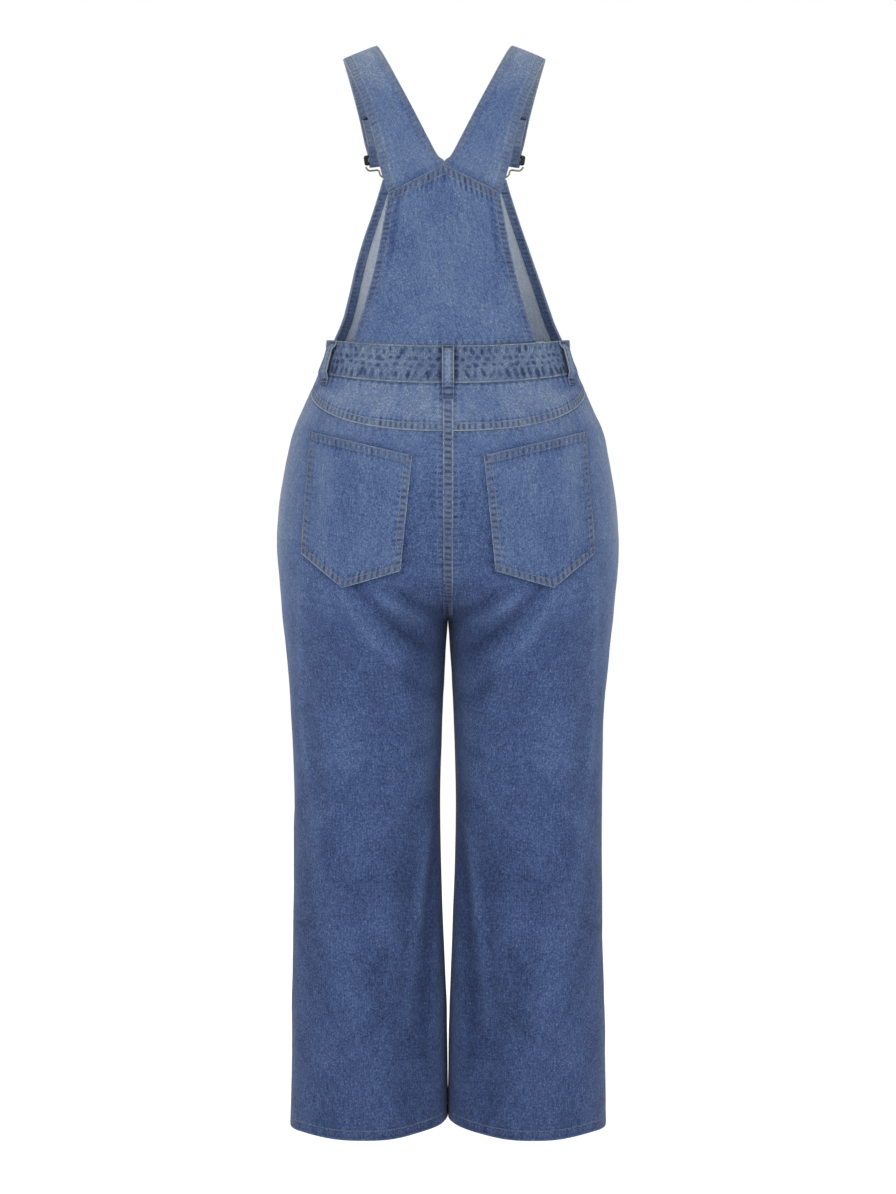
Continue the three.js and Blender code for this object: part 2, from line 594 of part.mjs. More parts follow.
function hook(side) {
  const frame = hookFrame(side);
  const half = HOOK_WIRE.map(({ across: x, down }) => new THREE.Vector3(x, down, 0));
  const otherHalf = half.map((p) => new THREE.Vector3(-p.x, p.y, 0)).reverse();
  const path = new THREE.CatmullRomCurve3([...half, ...otherHalf], false, 'centripetal');
  const section = new THREE.Shape();
  for (let i = 0; i < WIRE_SIDES; i++) {
    const angle = (2 * Math.PI * i) / WIRE_SIDES;
    const corner = [WIRE_RADIUS * Math.cos(angle), WIRE_RADIUS * Math.sin(angle)];
    if (i === 0) section.moveTo(...corner);
    else section.lineTo(...corner);
  }
  const geometry = new THREE.ExtrudeGeometry(section, { steps: WIRE_STEPS, bevelEnabled: false, extrudePath: path });
  return orient(geometry, frameMatrix(frame, frame.slide));
}

// A metal button: a shank that stands on the cloth and a domed cap
function button(seat, out, shank) {
  const rim = shank + CAP_THICKNESS / 2;
  const top = shank + CAP_THICKNESS;
  const profile = [
    [0, 0], [SHANK_RADIUS, 0], [SHANK_RADIUS, shank], [CAP_RADIUS - 0.6, shank], [CAP_RADIUS, shank + 0.5],
    [CAP_RADIUS, rim], [CAP_RADIUS - 0.8, top], [CAP_RADIUS - 2.2, top], [CAP_RADIUS - 2.8, top - 0.5],
    [2, top - 0.2], [0, top - 0.1],
  ].map(([radius, height]) => new THREE.Vector2(radius, height));
  const geometry = new THREE.LatheGeometry(profile, BUTTON_SIDES);
  const turn = new THREE.Quaternion().setFromUnitVectors(new THREE.Vector3(0, 1, 0), out);
  geometry.applyQuaternion(turn);
  geometry.translate(...seat.clone().addScaledVector(out, SEAM).toArray());
  return geometry;
}

function sideButton(side, { turn, z, out }) {
  const seat = clothPoint(side, -1, turn, z, out);
  const away = clothPoint(side, -1, turn, z, out + 1).sub(seat).normalize();
  return button(seat, away, SIDE_SHANK);
}

addPiece('back_panel', backPanel(), denim(MID_DENIM));
addPiece('bib', bib(), denim(MID_DENIM));
addPiece('waistband_back', waistband(1), denim(LIGHT_DENIM));
addPiece('waistband_front', waistband(-1), denim(LIGHT_DENIM));
addPiece('centre_back_seam', centreBackSeam(), denim(LIGHT_DENIM));
for (const side of [1, -1]) {
  const name = sideName(side);
  addPiece(`yoke_${name}`, yoke(side), denim(LIGHT_DENIM));
  addPiece(`back_leg_${name}`, legPanel(side, 1), denim(MID_DENIM));
  addPiece(`front_leg_${name}`, legPanel(side, -1), denim(MID_DENIM));
  addPiece(`pocket_${name}`, pocket(side), denim(MID_DENIM));
  addPiece(`strap_${name}`, strap(side), denim(LIGHT_DENIM));
  addPiece(`slide_${name}`, slide(side), blackMetal());
  addPiece(`hook_${name}`, hook(side), wireMetal());
  const { seat, out } = hookFrame(side);
  addPiece(`bib_button_${name}`, button(seat, out, CLEAR_SHANK), brass());
  for (const place of SIDE_BUTTONS) {
    addPiece(`side_button_${name}_${place.name}`, sideButton(side, place), brass());
  }
}
for (const loop of LOOPS) addPiece(loop.name, beltLoop(loop), denim(LIGHT_DENIM));

export default group;
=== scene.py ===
import math

import bpy
import numpy as np
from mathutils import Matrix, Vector


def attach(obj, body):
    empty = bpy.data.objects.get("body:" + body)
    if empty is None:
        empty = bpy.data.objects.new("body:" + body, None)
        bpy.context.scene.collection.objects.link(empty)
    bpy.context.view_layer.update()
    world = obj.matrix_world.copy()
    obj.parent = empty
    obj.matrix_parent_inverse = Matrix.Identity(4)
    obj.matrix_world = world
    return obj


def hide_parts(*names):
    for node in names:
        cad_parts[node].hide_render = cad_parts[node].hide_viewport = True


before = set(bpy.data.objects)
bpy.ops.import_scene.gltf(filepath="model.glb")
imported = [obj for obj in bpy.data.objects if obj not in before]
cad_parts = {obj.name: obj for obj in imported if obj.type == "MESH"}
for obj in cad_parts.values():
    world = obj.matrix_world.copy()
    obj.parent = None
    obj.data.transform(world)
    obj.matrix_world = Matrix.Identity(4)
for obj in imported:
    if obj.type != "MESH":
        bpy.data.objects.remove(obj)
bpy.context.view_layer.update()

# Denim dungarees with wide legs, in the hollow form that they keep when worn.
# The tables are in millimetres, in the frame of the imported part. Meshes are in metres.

MM = 0.001

# Keeps the weave of the two sides of a wall apart, and its slant on the cloth
INNER_CUT_SHIFT = 0.37
TWILL_ANGLE = math.radians(-63)

# Camera: behind the garment, level with the waist and tilted a little down
IMAGE_HEIGHT = 1194
FOCAL_PIXELS = 3680
SENSOR = 36.0
CAMERA_DISTANCE = 4.6
CAMERA_HEIGHT = -0.501
CAMERA_TILT = math.radians(2.287)

# Floor and lights, in metres and watts
FLOOR_BELOW_HEM = 0.16
FLOOR_RADIUS = 40
LIGHT_SIZE = 2.4
LIGHT_TARGET = (0, 0, -0.68)
LIGHTS = (("key", (1.6, 3.6, 1.3), 46), ("fill", (-2.6, 2.6, 0.2), 18), ("front", (0.8, -3.8, 1.0), 30))

# Cloth thicknesses, the gap at seams, and how far the layers stand off the leg panels
DENIM = 1.5
STRAP_THICKNESS = 2.4
SEAM = 0.3
HEM_EXTRA = 1.4
ALLOWANCE = 16
ALLOWANCE_THICKNESS = 0.8
YOKE_OUT = 0.6
BAND_OUT = 1.6
POCKET_CLEAR = 0.6
POCKET_THICKNESS = 1.6
ROUNDNESS = 2.3

# Heights at the side seams of the back and front, and how far they drop to the middle
BAND_TOP_Z = -364.5
BAND_TOP_DROP = {1: 9.5, -1: -1.5}
BAND_BOTTOM_Z = -406
BAND_BOTTOM_DROP = {1: 14, -1: 4}
YOKE_SIDE_Z = -424
YOKE_DROP = 54
YOKE_CURVE = 1.15

HEM_Z = -1352
HEM_INNER_RISE = 14.5
HEM_OUTER_RISE = 5
HEM_DEPTH = 13
CROTCH_Z = -714
BIB_TOP_Z = -156
CHEVRON_PEAK_Z = -154
CHEVRON_END_Z = -188
LEAN = 4.5
LEAN_FROM_Z = -366
LEAN_TO_Z = -220


def table(columns, *rows):
    return [dict(zip(columns.split(), row)) for row in rows]


OUTLINE = table(
    "z half lobe gap front back",
    (-120, 176, 0, 0, 127, 104),
    (-250, 160, 0, 0, 129, 110),
    (-330, 151, 0, 0, 125, 116),
    (-376, 150.3, 0, 0, 122, 119),
    (-395, 156.6, 0, 0, 124, 123),
    (-414, 164, 0, 0, 126, 129),
    (-432, 172.2, 0, 0, 129, 135),
    (-451, 180.4, 0, 0, 132, 141),
    (-470, 189, 0.02, 0, 135, 147),
    (-488, 194.9, 0.05, 0, 137, 152),
    (-526, 202.6, 0.12, 0, 139, 159),
    (-563, 209, 0.2, 0, 139, 163),
    (-600, 212.3, 0.31, 0, 136, 163),
    (-630, 212.6, 0.43, 0, 131, 160),
    (-657, 211, 0.58, 0, 125, 155),
    (-685, 208.6, 0.79, 0, 119, 147),
    (-702, 207.2, 0.93, 0, 115.5, 141.5),
    (-714, 206, 1, 0, 113, 138),
    (-751, 201.8, 1, 2.8, 109, 127),
    (-801, 196.8, 1, 5.4, 105, 117),
    (-877, 193.2, 1, 8.3, 101, 106),
    (-950, 192, 1, 9.6, 98, 100),
    (-1066, 193, 1, 7, 96, 96),
    (-1142, 194, 1, 3.8, 95, 95),
    (-1217, 195.6, 1, 1.2, 94, 94),
    (-1293, 197, 1, 0.1, 93, 93),
    (-1352, 197.4, 1, 0.1, 92, 92),
)

# Broad folds of the legs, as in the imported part
FOLDS = table(
    "side face turn spread height top bottom",
    (1, 1, 0.7, 0.1, -5, -840, -1400),
    (1, 1, 0.5, 0.1, 3, -900, -1400),
    (1, 1, 0.24, 0.07, -2.5, -640, -1200),
    (-1, 1, 0.68, 0.11, -5, -860, -1400),
    (-1, 1, 0.46, 0.1, 3, -960, -1400),
    (-1, 1, 0.25, 0.07, -2.5, -620, -1160),
    (1, -1, 0.64, 0.11, -5, -800, -1400),
    (1, -1, 0.3, 0.09, -3, -900, -1400),
    (-1, -1, 0.66, 0.1, -5, -830, -1400),
    (-1, -1, 0.32, 0.09, -3, -860, -1400),
)

# Creases: from one point to another by way of a third, each by its x and z.
# wide: half width. high: millimetres, negative for a trough.
CREASES = table(
    "face x0 z0 x1 z1 x2 z2 wide high",
    (1, 134, -664, 101, -729, 62, -762, 8, 1.9),
    (1, 112, -662, 66, -724, 20, -745, 9, -2.4),
    (1, 92, -672, 58, -698, 26, -710, 6, 1.4),
    (1, 70, -668, 40, -690, 12, -700, 8, -1.8),
    (1, 60, -770, 34, -792, 12, -806, 10, -1.6),
    (1, -136, -666, -102, -733, -66, -764, 8, 1.9),
    (1, -114, -664, -68, -728, -20, -748, 9, -2.4),
    (1, -94, -672, -60, -700, -26, -712, 6, 1.4),
    (1, -72, -668, -42, -692, -12, -702, 8, -1.8),
    (1, -58, -776, -36, -800, -12, -816, 10, -1.6),
    (1, 175, -560, 182, -690, 180, -810, 4, 1.5),
    (1, 180, -800, 177, -880, 165, -960, 5, 1.3),
    (1, 166, -940, 162, -1010, 158, -1080, 8, 0.9),
    (1, -175, -566, -182, -696, -180, -814, 4, 1.5),
    (1, -180, -804, -177, -886, -165, -966, 5, 1.3),
    (1, -166, -946, -162, -1020, -158, -1090, 8, 0.9),
    (1, 18, -950, 40, -1066, 50, -1210, 7, 1.5),
    (1, 12, -900, 24, -1060, 28, -1250, 8, -2),
    (1, -18, -956, -42, -1070, -50, -1220, 7, 1.5),
    (1, -12, -905, -26, -1066, -30, -1260, 8, -2),
    (1, 26, -880, 34, -915, 56, -936, 8, 1.1),
    (1, -28, -886, -36, -922, -58, -942, 8, 1.1),
    (1, 84, -1120, 92, -1150, 88, -1200, 14, -1.3),
    (1, -86, -1128, -94, -1158, -90, -1210, 14, -1.3),
    (1, 150, -900, 136, -880, 118, -872, 18, 1.1),
    (1, -152, -904, -138, -884, -120, -878, 18, 1.1),
    (1, 192, -1091, 186, -1086, 176, -1090, 3.5, -1.4),
    (1, -192, -1096, -186, -1091, -176, -1094, 3.5, -1.4),
    (-1, 12, -690, 66, -664, 140, -628, 9, -2.6),
    (-1, 12, -702, 64, -694, 136, -690, 10, -2.4),
    (-1, 14, -716, 52, -740, 88, -800, 11, -2),
    (-1, -12, -690, -66, -666, -138, -634, 9, -2.6),
    (-1, -12, -702, -66, -696, -132, -696, 10, -2.4),
    (-1, -14, -716, -54, -744, -92, -806, 11, -2),
    (-1, 30, -674, 80, -640, 160, -580, 12, 1.8),
    (-1, -30, -676, -82, -642, -160, -586, 12, 1.8),
    (-1, 24, -640, 64, -618, 120, -606, 9, -1.5),
    (-1, -24, -642, -66, -620, -118, -610, 9, -1.5),
    (-1, 36, -1000, 90, -1024, 160, -1002, 16, -1.9),
    (-1, 44, -1040, 100, -1058, 156, -1040, 14, 1.3),
    (-1, -36, -1020, -90, -1040, -158, -1016, 16, -1.9),
    (-1, -44, -1058, -100, -1076, -152, -1056, 14, 1.3),
    (-1, 20, -930, 44, -1080, 50, -1230, 9, 1.5),
    (-1, -20, -940, -46, -1090, -52, -1240, 9, 1.5),
)

BACK_EDGE = table("z half", (-188, 68.4), (-258, 81.3), (-315, 96), (-366, 112))
BACK_HEM = 9.5
BIB_HEM = 10.5
BIB_TOP_HEM = 17.5
BIB_EDGE = table("z half", (-156, 79), (-178, 85.4), (-253, 110), (-335, 133.4), (-362, 143.5))

STRAP = table(
    "neck_x neck_z arm_x arm_z y drop crown",
    (0.15, -153.7, 68.4, -187.6, 105, 7, 1.6),
    (0.7, -148.6, 73, -175, 105, 8, 1.5),
    (8, -142.5, 77, -161.5, 104.8, 9, 1.3),
    (19.8, -121, 80.8, -145, 103, 9, 1.2),
    (34.2, -93, 86.5, -120, 98.5, 9, 1),
    (46.6, -69, 93.5, -94, 91, 8, 1),
    (57.6, -48, 101, -72.5, 80, 7, 1),
    (68, -27.5, 109.5, -51, 62, 6, 1),
    (78, -8.5, 119.3, -29, 35, 4, 1),
    (84, 0, 125.4, -17, 4, 0, 1),
    (84, -4.5, 124.6, -20.5, -28, -3, 1),
    (79, -21, 120, -36, -58, -5, 0.8),
    (72, -46, 113.8, -58.5, -87, -5, 0.6),
    (64.4, -75, 107.2, -85, -109, -5, 0.4),
    (58.3, -104, 101.5, -112.5, -120.5, -5, 0.2),
)
STRAP_STEP = 2.2
STRAP_END_HALF = 22
STRAP_FRONT_Y = -40
TAIL_LENGTH = 60
TAIL_ROWS = 2
TAIL_INSET = 2.6
TAIL_REACH = 6

BUTTON_X = 70
BUTTON_Z = -164
HOOK_LENGTH = 36
HOOK_TILT = 0.14
WIRE_RADIUS = 1.2
WIRE_POINTS = 150
SLIDE_HALF = 28.5
SLIDE_HEIGHT = 13
SLIDE_THICKNESS = 2.2
SLIDE_RAIL = 3.2
SLIDE_SLACK = 1
SLIDE_CORNER = 3
SLIDE_HOLE_CORNER = 1.2
SLIDE_SOFT = 0.45
SHANK_RADIUS = 3.5
CAP_RADIUS = 8.5
CAP_THICKNESS = 2.6
CLEAR_SHANK = 2 * WIRE_RADIUS + 2 * SEAM
SIDE_SHANK = 1.2
HOOK_WIRE = [
    (27.2, 8.1), (26.6, 10.2), (24, 13), (19.5, 13.7), (13, 13.8), (10.8, 16), (10, 20.5),
    (6.8, 23.8), (4.6, 26.4), (5.6, 29.6), (7.5, 34.5), (6.3, 40), (2.9, 43),
]

BLOT_ROWS = table(
    "at pitch wide tall",
    (0.16, 10.0, 2.3, 3.8),
    (0.37, 9.5, 3.4, 2.9),
    (0.55, 10.5, 3.2, 2.7),
    (0.81, 9.6, 2.6, 6.0),
)

POCKET_TOP = ((43, -508), (167.6, -479))
POCKET_BOTTOM = ((57.4, -646.5), (127.7, -667.5), (178, -626.5))
POCKET_POINT = 0.58

LOOPS = table(
    "name x lean top bottom foot",
    ("belt_loop_back", 0, 0, -374, -437, 13),
    ("belt_loop_left", 138, 14, -367, -422, 9),
    ("belt_loop_right", -138, -14, -367, -422, 9),
)
LOOP_HALF = 7.5
LOOP_THICKNESS = 2
LOOP_STAND = 4
LOOP_HEAD = 5

# The share of a sewn band that the felled seam or the yoke covers on the back legs
BARE_EDGE = 0.28
FELL_HALF = 6.5
FELL_TOP = -440
FELL_BOTTOM = -703
FELL_THICKNESS = 1.1
FELL_MITRE = 1.6

SIDE_BUTTONS = table("name turn z out", ("upper", 0.2, -386, BAND_OUT), ("lower", 0.2, -438, 0))

# Sewn bands along the edges of the pieces. rows: distances of the stitches from the edge. width: of the
# gathered band. period: of its gathers. force: how dark they are worn. high: their depth.
SEAMS = table(
    "place edge rows width period force high shift",
    # The gathers on the leg beside the felled seam are darkened as painted shade along the seam
    ("back_leg_middle", "right", (), 13, 7.5, 0.55, 0.4, 20),
    ("back_leg_top", "top", (), 5, 7.5, 0.3, 0.3, 21),
    ("front_leg_left_middle", "right", (2.2, 8.5), 9, 7.5, 0.8, 0.34, 20),
    ("front_leg_right_middle", "right", (), 9, 7.5, 0.3, 0.34, 20),
    ("front_leg_top", "top", (), 6, 9, 0.5, 0.4, 21),
    ("hem", "bottom", (HEM_DEPTH - 1,), HEM_DEPTH - 1, 15, 0.16, 0.36, 22),
    ("yoke", "bottom", (2, 9), 9.6, 7.4, 1.2, 0.42, 1),
    ("yoke", "top", (), 5, 9, 0.5, 0.35, 3),
    ("yoke", "right", (), 12, 7.5, 0.5, 0.3, 4),
    ("waistband", "top", (2.2,), 9, 8.8, 0.3, 0.3, 5),
    ("waistband", "bottom", (2.2,), 12, 8.6, 0.3, 0.3, 6),
    ("pocket_sides", "left", (2.2, 8.8), 9.3, 7.2, 0.95, 0.4, 0),
    ("pocket_sides", "right", (2.2, 8.8), 9.3, 7.8, 0.7, 0.4, 1),
    ("pocket_sides", "bottom", (2.2, 8.8), 9.3, 7.6, 1, 0.4, 2),
    ("pocket_top", "top", (2.2, 9.8), 10.3, 7.4, 0.7, 0.26, 3),
    ("back_panel_sides", "left", (1.8, BACK_HEM - 0.6), BACK_HEM, 6.2, 0.6, 0.34, 1),
    ("back_panel_sides", "right", (1.8, BACK_HEM - 0.6), BACK_HEM, 6.2, 0.6, 0.34, 3),
    ("back_panel_ends", "top", (2, 10.2), 10.8, 7.2, 0.9, 0.3, 2),
    ("back_panel_ends", "bottom", (), 6, 9, 0.5, 0.35, 3),
    ("bib", "left", (2.2, BIB_HEM - 1.5), BIB_HEM - 0.6, 6, 0.45, 0.35, 1),
    ("bib", "right", (2.2, BIB_HEM - 1.5), BIB_HEM - 0.6, 6, 0.45, 0.35, 3),
    ("bib", "top", (2.2, BIB_TOP_HEM - 1.5), BIB_TOP_HEM - 0.6, 7.5, 0.6, 0.35, 2),
    ("bib", "bottom", (), 6, 9, 0.5, 0.35, 3),
    ("centre_seam", "left", (2.2, 10.6), 11.6, 7.4, 1, 0.36, 0),
    ("belt_loop", "left", (2,), 4.2, 6.5, 0.8, 0.16, 0),
    ("belt_loop", "right", (2,), 4.2, 6.5, 0.8, 0.16, 0),
    ("strap", "right", (2.2, 9.6), 10.2, 6.2, 0.36, 0.2, 2),
    ("strap", "left", (2, 7.2), 7.8, 6.2, 0.28, 0.18, 3),
)

# Worn lines, and lines of painted shade, along the edges, between two distances. ridge: how much lighter,
# negative for darker.
BANDS = table(
    "place edges low high ridge",
    ("hem", "bottom", 0, 1.6, 1.3),
    ("hem", "bottom", 2.4, 5, -0.7),
    ("hem", "bottom", HEM_DEPTH - 2, HEM_DEPTH, 0.6),
    # Painted shadows on the yoke: a line along its seam with the leg panel, and one under the waistband's
    # edge
    ("yoke", "bottom", 10.2, 11.6, -1.9),
    ("yoke", "top", 0, 2, -2.4),
    ("waistband", "top bottom", 0, 1.4, 1.2),
    ("waistband", "top bottom", 2.2, 3.4, -1.2),
    ("back_panel_sides", "left right", 0, 1.2, 0.7),
    ("back_panel_sides", "left right", 2.4, BACK_HEM - 1.5, -0.75),
    # Painted shadow below the edge of the bib's turned top hem
    ("bib", "top", BIB_TOP_HEM, BIB_TOP_HEM + 2, -2.4),
    ("centre_seam", "right", 0, 1.3, 1.6),
    ("belt_loop", "left right", 2.6, 4.2, -1.3),
    ("belt_loop", "left right", 0, 1.2, 0.8),
    # Painted shadows on the strap: beside its foot at the back panel, and at the end of its folded tail
    ("strap", "top", 1.5, 7, -0.9),
    ("strap", "bottom", 0, 1.6, -2.2),
    ("strap", "bottom", 7.2, 8.6, -0.9),
)

# Stitches
STITCH = {"pitch": 3.4, "length": 2.7, "half_width": 0.46, "height": 0.36}
TACK = {"pitch": 10, "length": 3, "half_width": 0.32, "height": 0.3}
TACK_STEP = 0.72
STITCH_SEED = 30
POCKET_TACK_SEED = 91
LOOP_TACK_SEED = 92

# A stitch's ten corners are a ring of four near each end and the two tips
STITCH_CORNERS = 10
STITCH_FACES = [
    (0, 1, 5, 4), (1, 2, 6, 5), (2, 3, 7, 6), (3, 0, 4, 7),
    (1, 0, 8), (2, 1, 8), (3, 2, 8), (0, 3, 8), (4, 5, 9), (5, 6, 9), (6, 7, 9), (7, 4, 9),
]

PIPING_SIDES = 8

# Distance from a seam, in widths of its band, where there is none
FAR = 9.0

SIDES = ((1, "left"), (-1, "right"))


# Curves and noise

def cubic(t, i, span, values, slopes):
    """The value at a share of the way from point i to the next one, with given slopes at both."""
    return ((2 * t**3 - 3 * t**2 + 1) * values[i] + (t**3 - 2 * t**2 + t) * span * slopes[i]
            + (3 * t**2 - 2 * t**3) * values[i + 1] + (t**3 - t**2) * span * slopes[i + 1])


def curve_value(rows, column, z):
    """A smooth curve through one column of a table whose rows go down in z."""
    heights = np.array([row["z"] for row in rows], float)
    values = np.array([row[column] for row in rows], float)
    z = np.clip(np.asarray(z, float), heights[-1], heights[0])
    i = np.clip(np.searchsorted(-heights, -z, side="right") - 1, 0, len(rows) - 2)
    slopes = np.gradient(values, heights)
    slopes[1:-1] = (values[2:] - values[:-2]) / (heights[2:] - heights[:-2])
    span = heights[i + 1] - heights[i]
    return cubic((z - heights[i]) / span, i, span, values, slopes)


def smooth_step(value, low, high):
    t = np.clip((value - low) / (high - low), 0, 1)
    return t * t * (3 - 2 * t)


def bell(value, spread):
    """1 at zero, falling to 0 on both sides."""
    return np.exp(-((value / spread) ** 2))


def signed_power(value, exponent):
    return np.sign(value) * np.abs(value) ** exponent


def noise(x, y, seed):
    """Smooth seeded noise from -1 to 1, one bump for each unit."""
    lattice = np.random.default_rng(seed).uniform(-1, 1, (64, 64))
    x, y = np.broadcast_arrays(np.asarray(x, float), np.asarray(y, float))
    x0, y0 = np.floor(x).astype(int), np.floor(y).astype(int)
    tx, ty = smooth_step(x - x0, 0, 1), smooth_step(y - y0, 0, 1)

    def corner(i, j):
        return lattice[(x0 + i) % 64, (y0 + j) % 64]

    low = corner(0, 0) * (1 - tx) + corner(1, 0) * tx
    high = corner(0, 1) * (1 - tx) + corner(1, 1) * tx
    return low * (1 - ty) + high * ty


# The cloth's surface

def ring(face, z):
    half = curve_value(OUTLINE, "half", z)
    lobe = np.where(z <= CROTCH_Z, 1, np.clip(curve_value(OUTLINE, "lobe", z), 0, 1))
    gap = np.where(z >= CROTCH_Z, 0, np.maximum(curve_value(OUTLINE, "gap", z), 0))
    depth = curve_value(OUTLINE, "back" if face > 0 else "front", z)
    wide = (half - gap) / (1 + lobe)
    return half - wide, wide, depth, np.arccos(-(lobe ** (ROUNDNESS / 2)))


def ring_point(side, face, turn, z):
    middle, wide, depth, last = ring(face, z)
    angle = turn * last
    x = middle + wide * signed_power(np.cos(angle), 2 / ROUNDNESS)
    y = depth * np.maximum(np.sin(angle), 0) ** (2 / ROUNDNESS)
    return np.stack([side * (SEAM / 2 + np.maximum(x, 0)), face * (SEAM / 2 + y), z + 0 * x], -1)


def turn_at(face, x, z):
    middle, wide, _, last = ring(face, z)
    part = np.clip((x - SEAM / 2 - middle) / wide, -1, 1)
    return np.clip(np.arccos(signed_power(part, ROUNDNESS / 2)) / last, 0, 1)


def lean_at(z):
    return LEAN * smooth_step(np.asarray(z, float), LEAN_FROM_Z, LEAN_TO_Z)


def fold_height(side, face, turn, z):
    total = np.zeros(np.broadcast(side, turn, z).shape)
    for fold in FOLDS:
        if fold["face"] != face:
            continue
        across = bell(turn - fold["turn"], fold["spread"])
        down = np.sin(np.pi / 2 * np.clip((fold["top"] - z) / 250, 0, 1))
        up = np.sin(np.pi / 2 * np.clip((z - fold["bottom"]) / 50, 0, 1))
        total = total + np.where(side == fold["side"], fold["height"] * across * down * up, 0)
    return total


def crease_height(face, x, z):
    total = np.zeros(np.broadcast(x, z).shape)
    for crease in CREASES:
        if crease["face"] != face:
            continue
        start, way, end = ((crease[f"x{i}"], crease[f"z{i}"]) for i in range(3))
        nearest = np.full(total.shape, 1e9)
        along = np.zeros(total.shape)
        for t in np.linspace(0, 1, 41):
            cx = (1 - t) ** 2 * start[0] + 2 * t * (1 - t) * way[0] + t**2 * end[0]
            cz = (1 - t) ** 2 * start[1] + 2 * t * (1 - t) * way[1] + t**2 * end[1]
            distance = (x - cx) ** 2 + (z - cz) ** 2
            closer = distance < nearest
            nearest = np.where(closer, distance, nearest)
            along = np.where(closer, t, along)
        fade = np.sin(np.pi * np.clip(0.08 + 0.84 * along, 0, 1)) ** 0.7
        total += crease["high"] * fade * np.exp(-nearest / crease["wide"] ** 2)
    return total


def cloth(side, face, turn, z, out=0.0):
    """Points on the cloth, moved out from the outer side of the leg panels, and the ways out of it."""
    side, turn, z = np.broadcast_arrays(np.asarray(side), np.asarray(turn, float), np.asarray(z, float))
    step = 0.01
    before = ring_point(side, face, np.maximum(turn - step, 0), z)
    after = ring_point(side, face, np.minimum(turn + step, 1), z)
    rise = ring_point(side, face, turn, z + 1) - ring_point(side, face, turn, z - 1)
    normal = np.cross(after - before, rise)
    normal /= np.linalg.norm(normal, axis=-1, keepdims=True)
    point = ring_point(side, face, turn, z)
    middle = ring(face, z)[0]
    away = normal[..., 0] * (point[..., 0] - side * middle) + normal[..., 1] * point[..., 1]
    normal *= np.where(away < 0, -1, 1)[..., None]
    lift = out + fold_height(side, face, turn, z)
    point = point + normal * lift[..., None]
    point[..., 0] += lean_at(z)
    return point, normal


def cloth_at_x(face, x, z, out=0.0):
    x, z = np.broadcast_arrays(np.asarray(x, float), np.asarray(z, float))
    side = np.where(x < 0, -1, 1)
    return cloth(side, face, turn_at(face, np.abs(x), z), z, out)


def band_top(face, turn):
    return BAND_TOP_Z - BAND_TOP_DROP[face] * np.sin(turn * np.pi / 2) ** 2


def band_bottom(face, turn):
    return BAND_BOTTOM_Z - BAND_BOTTOM_DROP[face] * np.sin(turn * np.pi / 2) ** 2


def yoke_seam(turn):
    return YOKE_SIDE_Z - YOKE_DROP * np.sin(turn * np.pi / 2) ** YOKE_CURVE


def hem_at(turn):
    return (HEM_Z + HEM_INNER_RISE * smooth_step(turn, 0.5, 1)
            + HEM_OUTER_RISE * (1 - smooth_step(turn, 0.18, 0.45)))


# Cloth pieces

